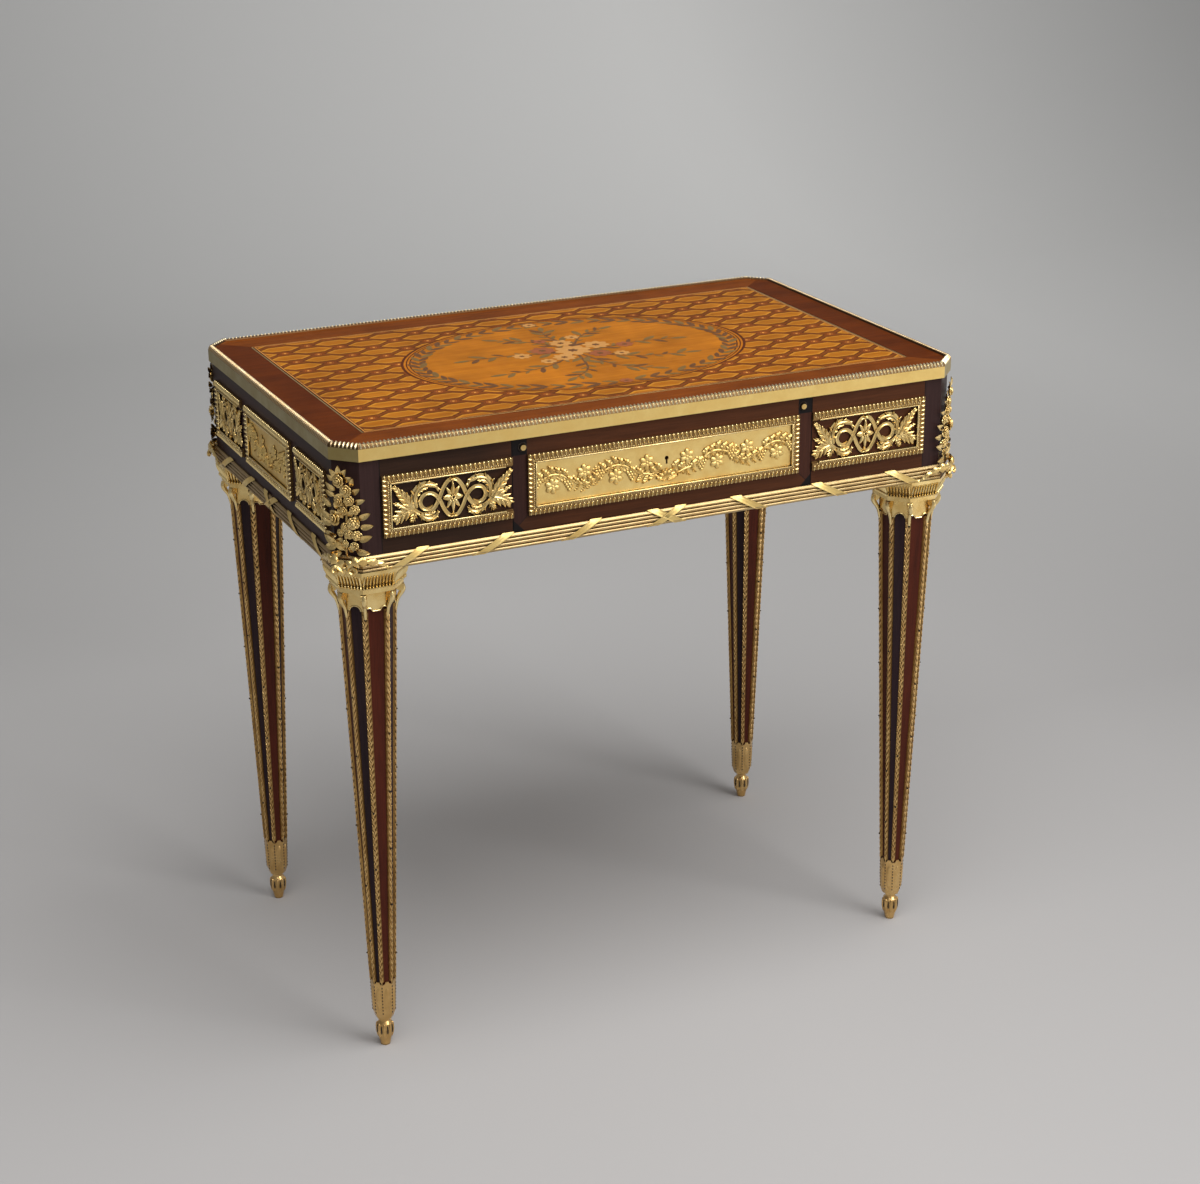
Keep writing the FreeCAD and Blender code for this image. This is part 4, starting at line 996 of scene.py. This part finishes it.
def bands(value, *stops, hard=True):
    """Colours laid side by side, each one starting at its place on the value."""
    made = add_node(value.tree, "ValToRGB", value)
    ramp = made.color_ramp
    ramp.interpolation = "CONSTANT" if hard else "LINEAR"
    while len(ramp.elements) < len(stops):
        ramp.elements.new(0.5)
    for element, (place, colour) in zip(ramp.elements, stops):
        element.position = place
        element.color = (*colour, 1.0)
    return Reading(made)


def trellis(point):
    """The laid pattern of the top as a colour and a height, from the place on it in millimetres."""
    tree = point.tree
    x, y, _ = axes(point)
    p = x / cell_step_x
    q = y / cell_step_y
    s = (p + q) * 0.5
    t = (p - q) * 0.5

    def nearest(first, second):
        """Distances across and up from the nearest lattice point, in millimetres."""
        return abs((p - (first + second)) * cell_step_x), abs((q - (first - second)) * cell_step_y)

    def length(first, second):
        return (first ** 2.0 + second ** 2.0).reckon("SQRT")

    across, up = nearest(s.reckon("FLOOR") + 0.5, t.reckon("FLOOR") + 0.5)
    past_slant = (cell_half_length - (up * cell_slope + across)) / slant_length
    inside = smaller(cell_half_height - up, past_slant)
    from_node = length(*nearest(s.reckon("ROUND"), t.reckon("ROUND")))
    lengthwise = read(tree, "Mapping", point, None, None, (0.05, 0.9, 0.9))
    crosswise = read(tree, "Mapping", point, None, None, (0.9, 0.06, 0.9))
    pale_wood, height = use_group(grain_group, lengthwise, (0.42, 0.152, 0.010), (0.27, 0.082, 0.005))
    dark_wood, _ = use_group(grain_group, crosswise, (0.215, 0.058, 0.007), (0.130, 0.033, 0.004))
    border_wood, _ = use_group(grain_group, lengthwise, (0.205, 0.051, 0.004), (0.108, 0.024, 0.003))
    oval_wood, _ = use_group(grain_group, lengthwise, (0.48, 0.172, 0.011), (0.32, 0.096, 0.006))
    line = (0.085, 0.018, 0.004)
    scorch = bands(inside / 11.0, (0.0, on), (0.45, off), hard=False)
    cell = blend(scorch, pale_wood, (0.56, 0.245, 0.026))
    place_in_cell = (inside + 4.0) / 16.0
    colour = blend(bands(place_in_cell, (0.0, off), (0.28, on)), dark_wood, cell)
    colour = blend(bands(place_in_cell, (0.0, off), (0.185, on), (0.28, off)), colour, line)
    rosette = bands(from_node / 10.0, (0.0, (0.72, 0.30, 0.055)), (0.17, line), (0.26, (0.33, 0.092, 0.013)),
                    (0.44, line), (0.52, (0.27, 0.070, 0.011)), (0.60, line))
    colour = blend(from_node < rosette_radius, colour, rosette)
    ring = length(x / oval_x, y / oval_y)
    oval_line = bands(ring, (0.0, off), (0.944, on), (0.953, off), (0.962, on), (0.970, off), (0.982, on))
    colour = blend(ring < 1.0, colour, blend(oval_line, oval_wood, line))
    past_end = abs(x) - field_x
    past_side = abs(y) - field_y
    from_field = larger(past_end, past_side)
    veneer = blend(past_end > past_side, border_wood, (0.58, 0.48, 0.46), "MULTIPLY")
    string = (from_field + 10.0) / 60.0
    black, pale = (0.035, 0.014, 0.008), (0.62, 0.27, 0.065)
    strings = bands(string, (0.0, black), (0.103, pale), (0.122, (0.13, 0.04, 0.010)), (0.150, pale),
                    (0.168, black), (0.18, off), (0.845, black))
    border = blend(bands(string, (0.0, on), (0.18, off), (0.845, on)), veneer, strings)
    colour = blend(from_field > -string_inset, colour, border)
    tone = bands(noise(point, 0.018, 3.0, 0.55), (0.3, (0.74, 0.72, 0.72)), (0.7, (1.08, 1.06, 1.0)),
                 hard=False)
    return blend(1.0, colour, tone, "MULTIPLY"), height


def laid_top():
    """The finish of the flap, the lids and the frame round them, with oak on their hidden sides."""
    material, tree, shader = new_material("laid top")
    laid, height = trellis(object_point(tree, in_millimetres))
    oak_side, _ = grain(tree, along_x, (0.42, 0.24, 0.11), (0.24, 0.125, 0.055))
    shown = axes(object_point(tree))[2] > veneer_foot
    polish(shader, blend(shown, oak_side, laid), height, 0.00003, 0.42, 0.014, 0.01)
    return material


dress(laid_top(), "top_frame", "reading_flap", "right_lid", "left_lid")

# Oval panel: a wreath of leaves inside its border and a spray of flowers on the ground,
# cut from stained woods and let in flush; the spray is a plain garden bunch.
surface = 748.0


def inlay_pattern(length, width, taper=0.0):
    """A leaf of veneer lying on the top, its root at the origin and its tip along X."""
    bm = bmesh.new()
    bmesh.ops.create_circle(bm, cap_ends=True, segments=14, radius=1.0)
    for vert in bm.verts:
        narrow = (1.0 - vert.co.x ** 2) ** 0.3 * (1.0 - taper * vert.co.x)
        vert.co = Vector(((vert.co.x + 1) * length / 2, vert.co.y * width / 2 * narrow, 0))
    extruded = bmesh.ops.extrude_face_region(bm, geom=bm.faces[:])
    raised = [part for part in extruded["geom"] if isinstance(part, bmesh.types.BMVert)]
    bmesh.ops.translate(bm, vec=(0, 0, 0.12), verts=raised)
    return casting(bm)


def lay(bm, pattern, x, y, turn, size=1.0, rise=0.0):
    """Lets one piece in, a hair higher or lower than its neighbours so that none share a face."""
    uneven = 0.003 * (len(bm.verts) // 28 % 9)
    place = in_metres @ moved(x, y, surface - 0.02 + rise + uneven)
    cast(bm, pattern, place @ Matrix.Rotation(turn, 4, "Z") @ sized(size, size, 1))


wreath_leaf = inlay_pattern(22.0, 7.2)
petal_leaf = inlay_pattern(15.0, 8.4, -0.3)
stem_leaf = inlay_pattern(25.0, 8.4)
dark_leaves, green_leaves, pale_petals, rose_petals = (bmesh.new() for _ in range(4))
for step in range(58):
    angle = 2 * pi * step / 58
    spot = Vector((oval_x * cos(angle), oval_y * sin(angle))) * 0.90
    ahead = Vector((-oval_x * sin(angle), oval_y * cos(angle)))
    heading = atan2(ahead.y, ahead.x)
    if spot.x < 0:
        heading = atan2(-ahead.y, -ahead.x)
    if abs(spot.x) < 9:
        continue
    for side in (1, -1):
        target = dark_leaves if (step + side) % 3 else green_leaves
        size = 1.0 + 0.12 * sin(step * 2.3)
        rise = 0.03 if target is green_leaves else 0.0
        lay(target, wreath_leaf, spot.x, spot.y, heading + side * 0.48, size, rise)
blooms = [(0, 8, 1.55), (-34, 22, 1.1), (36, 20, 1.15), (-22, -16, 1.0), (24, -18, 1.0), (0, 44, 1.0),
          (-66, 10, 0.8), (68, 6, 0.8), (-46, -24, 0.7), (48, -28, 0.7), (-20, 62, 0.6), (24, 64, 0.65),
          (0, 139.5, 0.6), (0, -139.5, 0.6)]
for number, (x, y, size) in enumerate(blooms):
    petals = rose_petals if number % 3 == 1 else pale_petals
    for step in range(8):
        lay(petals, petal_leaf, x, y, radians(45 * step + 11 * number), size, 0.10)
    for step in range(6):
        lay(dark_leaves, petal_leaf, x, y, radians(60 * step), size * 0.3, 0.16)
stems = [
    [(0, 0), (-40, 8), (-84, 22), (-128, 20)], [(0, 0), (40, 2), (86, 14), (130, 6)],
    [(0, 8), (-16, 44), (-38, 74), (-62, 88)], [(0, 8), (20, 46), (44, 74), (70, 84)],
    [(0, 0), (-34, -34), (-74, -52), (-112, -54)], [(0, 0), (36, -36), (78, -56), (116, -60)],
    [(0, 0), (4, 50), (-4, 84), (2, 104)], [(0, 0), (-8, -50), (-22, -84), (-44, -100)],
    [(0, 0), (10, -50), (26, -86), (50, -102)],
]
for number, stem in enumerate(stems):
    points = [Vector(point) for point in stem]
    rod = bmesh.new()
    draw_rod(rod, [(*point, 0.0) for point in stem], [2.0, 1.6, 1.2, 0.7], 1.0, 1, 8)
    flat_rod = casting(rod)
    cast(dark_leaves, flat_rod, in_metres @ moved(0, 0, surface) @ sized(1, 1, 0.06))
    for leaf in range(10):
        share = (leaf + 2) / 12 * 3
        index = min(int(share), 2)
        root = points[index].lerp(points[index + 1], share - index)
        ahead = points[index + 1] - points[index]
        side = 1 if leaf % 2 else -1
        target = green_leaves if (leaf + number) % 3 else dark_leaves
        heading = atan2(ahead.y, ahead.x) + side * 0.75
        size = 0.75 + 0.25 * sin(leaf + number)
        lay(target, stem_leaf, root.x, root.y, heading, size, 0.03 if target is green_leaves else 0.0)
    lay(green_leaves, stem_leaf, points[3].x, points[3].y, atan2(ahead.y, ahead.x), 0.9, 0.03)
for part, kind, wood, pale, deep in (
        (dark_leaves, "dark_leaves", "brown stained wood", (0.155, 0.056, 0.010), (0.075, 0.026, 0.005)),
        (green_leaves, "green_leaves", "green stained wood", (0.205, 0.110, 0.022), (0.120, 0.062, 0.012)),
        (pale_petals, "pale_petals", "pale petal wood", (0.54, 0.27, 0.070), (0.41, 0.175, 0.036)),
        (rose_petals, "red_petals", "red petal wood", (0.31, 0.085, 0.022), (0.21, 0.053, 0.013))):
    material = polished_wood(wood, pale, deep, (260.0, 900.0, 900.0), 0.4, 0.02, (0, 0, 0.6))
    fit(part, "inlay_" + kind, material, "flap")

# Lip: the top's gilt edge carries a close row of small ribs over its rounded rim, which
# turns with the canted corners.
half_width, half_depth, corner_cut = 390, 244, 25
lip_rib = drop_pattern(1.6, 4.1, 2.4, 0.0, 6, 6)
lip_inset, lip_pitch = 2.7, 4.6
rib_height, rib_slope = 748.3, 48.0
band_top, sunk_ground, gilt_run = 0.7452, 0.7475, 0.0034


def edge_finish():
    """Bright gilt on the band, painted darker on faces that look left or right; the lip between its ribs and
    the inner side of the rim are painted dark brown as painted shade.
    """
    material, tree, shader = new_material("edge gilt")
    x, y, z = axes(object_point(tree))
    across, back = abs(x), abs(y)
    inset = smaller(half_width * mm - across, half_depth * mm - back)
    canted = ((half_width + half_depth - corner_cut) * mm - (across + back)) * sqrt(0.5)
    inside = (smaller(inset, canted) > gilt_run) * (z > sunk_ground)
    colour, rough, height = gilding(tree, (0.95, 0.69, 0.25), (0.87, 0.60, 0.20))
    colour = painted_side_shade(colour, (0.44, 0.50, 0.62))
    # Painted shade: the lip above the band is painted dark so its ribs stand out, and the inner side of the
    # rim darker still.
    colour = blend(z > band_top, colour, (0.13, 0.075, 0.032))
    colour = blend(inside, colour, (0.07, 0.035, 0.015))
    feed(shader, Base_Color=colour, Metallic=1.0, Roughness=rough + 0.34)
    set_bump(shader, height, 0.00002)
    return material


dress(edge_finish(), "edge_band")
bm = bmesh.new()
ring = []
for x, y in ((1, 1), (-1, 1), (-1, -1), (1, -1)):
    cut = corner_cut - lip_inset * 0.586
    across, back = half_width - lip_inset, half_depth - lip_inset
    pair = [Vector((x * across, y * (back - cut))), Vector((x * (across - cut), y * back))]
    ring += pair if x * y > 0 else pair[::-1]
for start, end in zip(ring, ring[1:] + ring[:1]):
    run = end - start
    turn = Matrix.Rotation(atan2(run.y, run.x), 4, "Z")
    for along in edge_places(0, run.length, lip_pitch):
        spot = start + run.normalized() * along
        cast(bm, lip_rib, in_metres @ moved(spot.x, spot.y, rib_height) @ turn @ turned(-rib_slope, "X"))
fit(bm, "lip_ribs", lip_gilt, "top")

# Drawer, boxes and boards inside: waxed oak, quarter-sawn, with the grain along each board.
for name, way, boards in (
        ("waxed oak", along_x, ("bottom_board", "drawer_back", "drawer_bottom", "well", "flap_prop")),
        ("waxed oak along the depth", along_y, ("right_partition", "left_partition", "drawer_runners",
                                                "right_compartment", "left_compartment", "drawer_sides"))):
    dress(polished_wood(name, (0.46, 0.27, 0.125), (0.27, 0.145, 0.062), way, 0.5, 0.0), *boards)

# Push buttons: a small gilt ball on each of the drawer's two buttons, in a blackened collar
# let into the drawer front.
button_x, button_z, collar_radius = 175.6, 721, 4.6
ball = drop_pattern(2.4, 2.4, 1.6, 0.0, 16, 8)
for name, across in (("left", -button_x), ("right", button_x)):
    bm = bmesh.new()
    for step in range(18):
        angle = radians(20 * step)
        spot = across + collar_radius * cos(angle), button_z + collar_radius * sin(angle)
        cast(bm, bead_pattern, on_face("front", *spot))
    fit(bm, name + "_button_collar", pin_and_shade_dark, "drawer")
    bm = bmesh.new()
    cast(bm, ball, on_face("front", across, button_z, 0.9))
    fit(bm, name + "_button_ball", bright_gilt, name + "_button")

# Lifting gear and locks: turned steel shafts and rods, filed steel bolt, brass wheels,
# bearings, hinges, lock case and springs.


def worked_metal(name, bright, worn, roughness, way):
    """Metal with the fine lines of the file or the lathe."""
    material, tree, shader = new_material(name)
    feed(shader, Base_Color=gilding(tree, bright, worn)[0], Metallic=1.0, Roughness=roughness)
    set_bump(shader, noise(object_point(tree, way), 1.0, 2.0, 0.5), 0.00003)
    return material


steel = worked_metal("filed steel", (0.46, 0.46, 0.45), (0.30, 0.29, 0.27), 0.34, (80.0, 4000.0, 4000.0))
brass = worked_metal("worked brass", (0.80, 0.58, 0.24), (0.62, 0.42, 0.15), 0.28, (900.0, 900.0, 90.0))
dress(steel, "front_lift_shaft", "rear_lift_shaft", "long_shaft", "lift_rods", "lock_bolt")
dress(brass, "front_shaft_gears", "rear_shaft_gears", "long_shaft_gears", "shaft_bearings", "hinge_barrels",
      "prop_lugs", "ratchet_bars", "lock_case", "button_springs", "right_button", "left_button")

# Floor, backdrop and light: a pale grey floor that turns up behind into a wall, with painted
# light and shade on both, a soft lamp at the front right and a wider one overhead.


def studio_grey():
    """Matt grey paper with painted light: a painted pool of light right of the wall's middle, the floor
    painted darker to the right, and a painted reflection that makes the floor look paler on the right in the
    gilding.
    """
    material, tree, shader = new_material("studio paper")
    x, y, _ = axes(object_point(tree))
    wall = blend(abs(x - 2.15).spread(0.1, 2.6), (0.84, 0.835, 0.82), (0.46, 0.457, 0.45))
    floor_painted_light = blend(x.spread(0.1, 1.9), (0.43, 0.418, 0.412), (0.31, 0.302, 0.298))
    painted_reflection = blend(x.spread(0.7, 2.2), (0.42, 0.41, 0.40), (0.98, 0.96, 0.93))
    # Painted reflection: glossy rays see a paler floor on the right.
    floor_painted_light = blend(read(tree, "LightPath", output="Is Glossy Ray"), floor_painted_light, painted_reflection)
    colour = blend(y.spread(0.3, 3.0), floor_painted_light, wall)
    feed(shader, Base_Color=colour, Roughness=0.9, Specular_IOR_Level=0.1)
    return material


floor_reach, wall_height = 7.0, 5
bend_steps, bend_radius = 12, 1.6
run = bend_radius * pi / 2 / bend_steps
y, z = 3.0, 0.0
profile = [(-6.0, 0.0), (y, z)]
for step in range(bend_steps):
    angle = pi / 2 / bend_steps * (step + 1)
    y, z = y + run * cos(angle), z + run * sin(angle)
    profile.append((y, z))
profile.append((y, z + wall_height))
corners = [(x, y, z) for y, z in profile for x in (-floor_reach, floor_reach)]
mesh = bpy.data.meshes.new("studio_floor")
mesh.from_pydata(corners, [], [(low, low + 1, low + 3, low + 2) for low in range(0, len(corners) - 2, 2)])
mesh.polygons.foreach_set("use_smooth", [True] * len(mesh.polygons))
mesh.materials.append(studio_grey())
floor = bpy.data.objects.new("studio_floor", mesh)
bpy.context.scene.collection.objects.link(floor)
for name, place, target, size, watts in (("front lamp", (1.7, -3.1, 2.3), (0, 0, 0.45), (1.8, 1.4), 58),
                                         ("top lamp", (0.1, -1.0, 3.2), (0, 0, 0.3), (3.2, 2.1), 90)):
    lamp = bpy.data.lights.new(name, "AREA")
    lamp.shape = "RECTANGLE"
    lamp.size, lamp.size_y = size
    lamp.energy = watts
    holder = bpy.data.objects.new(name, lamp)
    holder.location = place
    holder.rotation_euler = (Vector(target) - Vector(place)).to_track_quat("-Z", "Y").to_euler()
    bpy.context.scene.collection.objects.link(holder)
world = bpy.data.worlds.new("studio")
bpy.context.scene.world = world
world.use_nodes = True
toward = axes(read(world.node_tree, "TexCoord", output="Generated"))[0]
feed(world.node_tree.nodes["Background"], Color=on, Strength=toward.spread(-1.0, 0.6, 0.20, 0.46))

# Camera: stands in front of the table's left corner and looks down on its top.
camera = bpy.data.cameras.new("camera")
camera.sensor_width = 36.0
camera.lens = 71.312
camera.shift_y = -0.045
view = bpy.data.objects.new("camera", camera)
view.location = (-1.15291, -2.50901, 1.49792)
view.rotation_euler = [radians(turn) for turn in (70.3246, 0.3453, -25.3789)]
bpy.context.scene.collection.objects.link(view)
bpy.context.scene.camera = view
bpy.context.scene.view_settings.view_transform = "Standard"
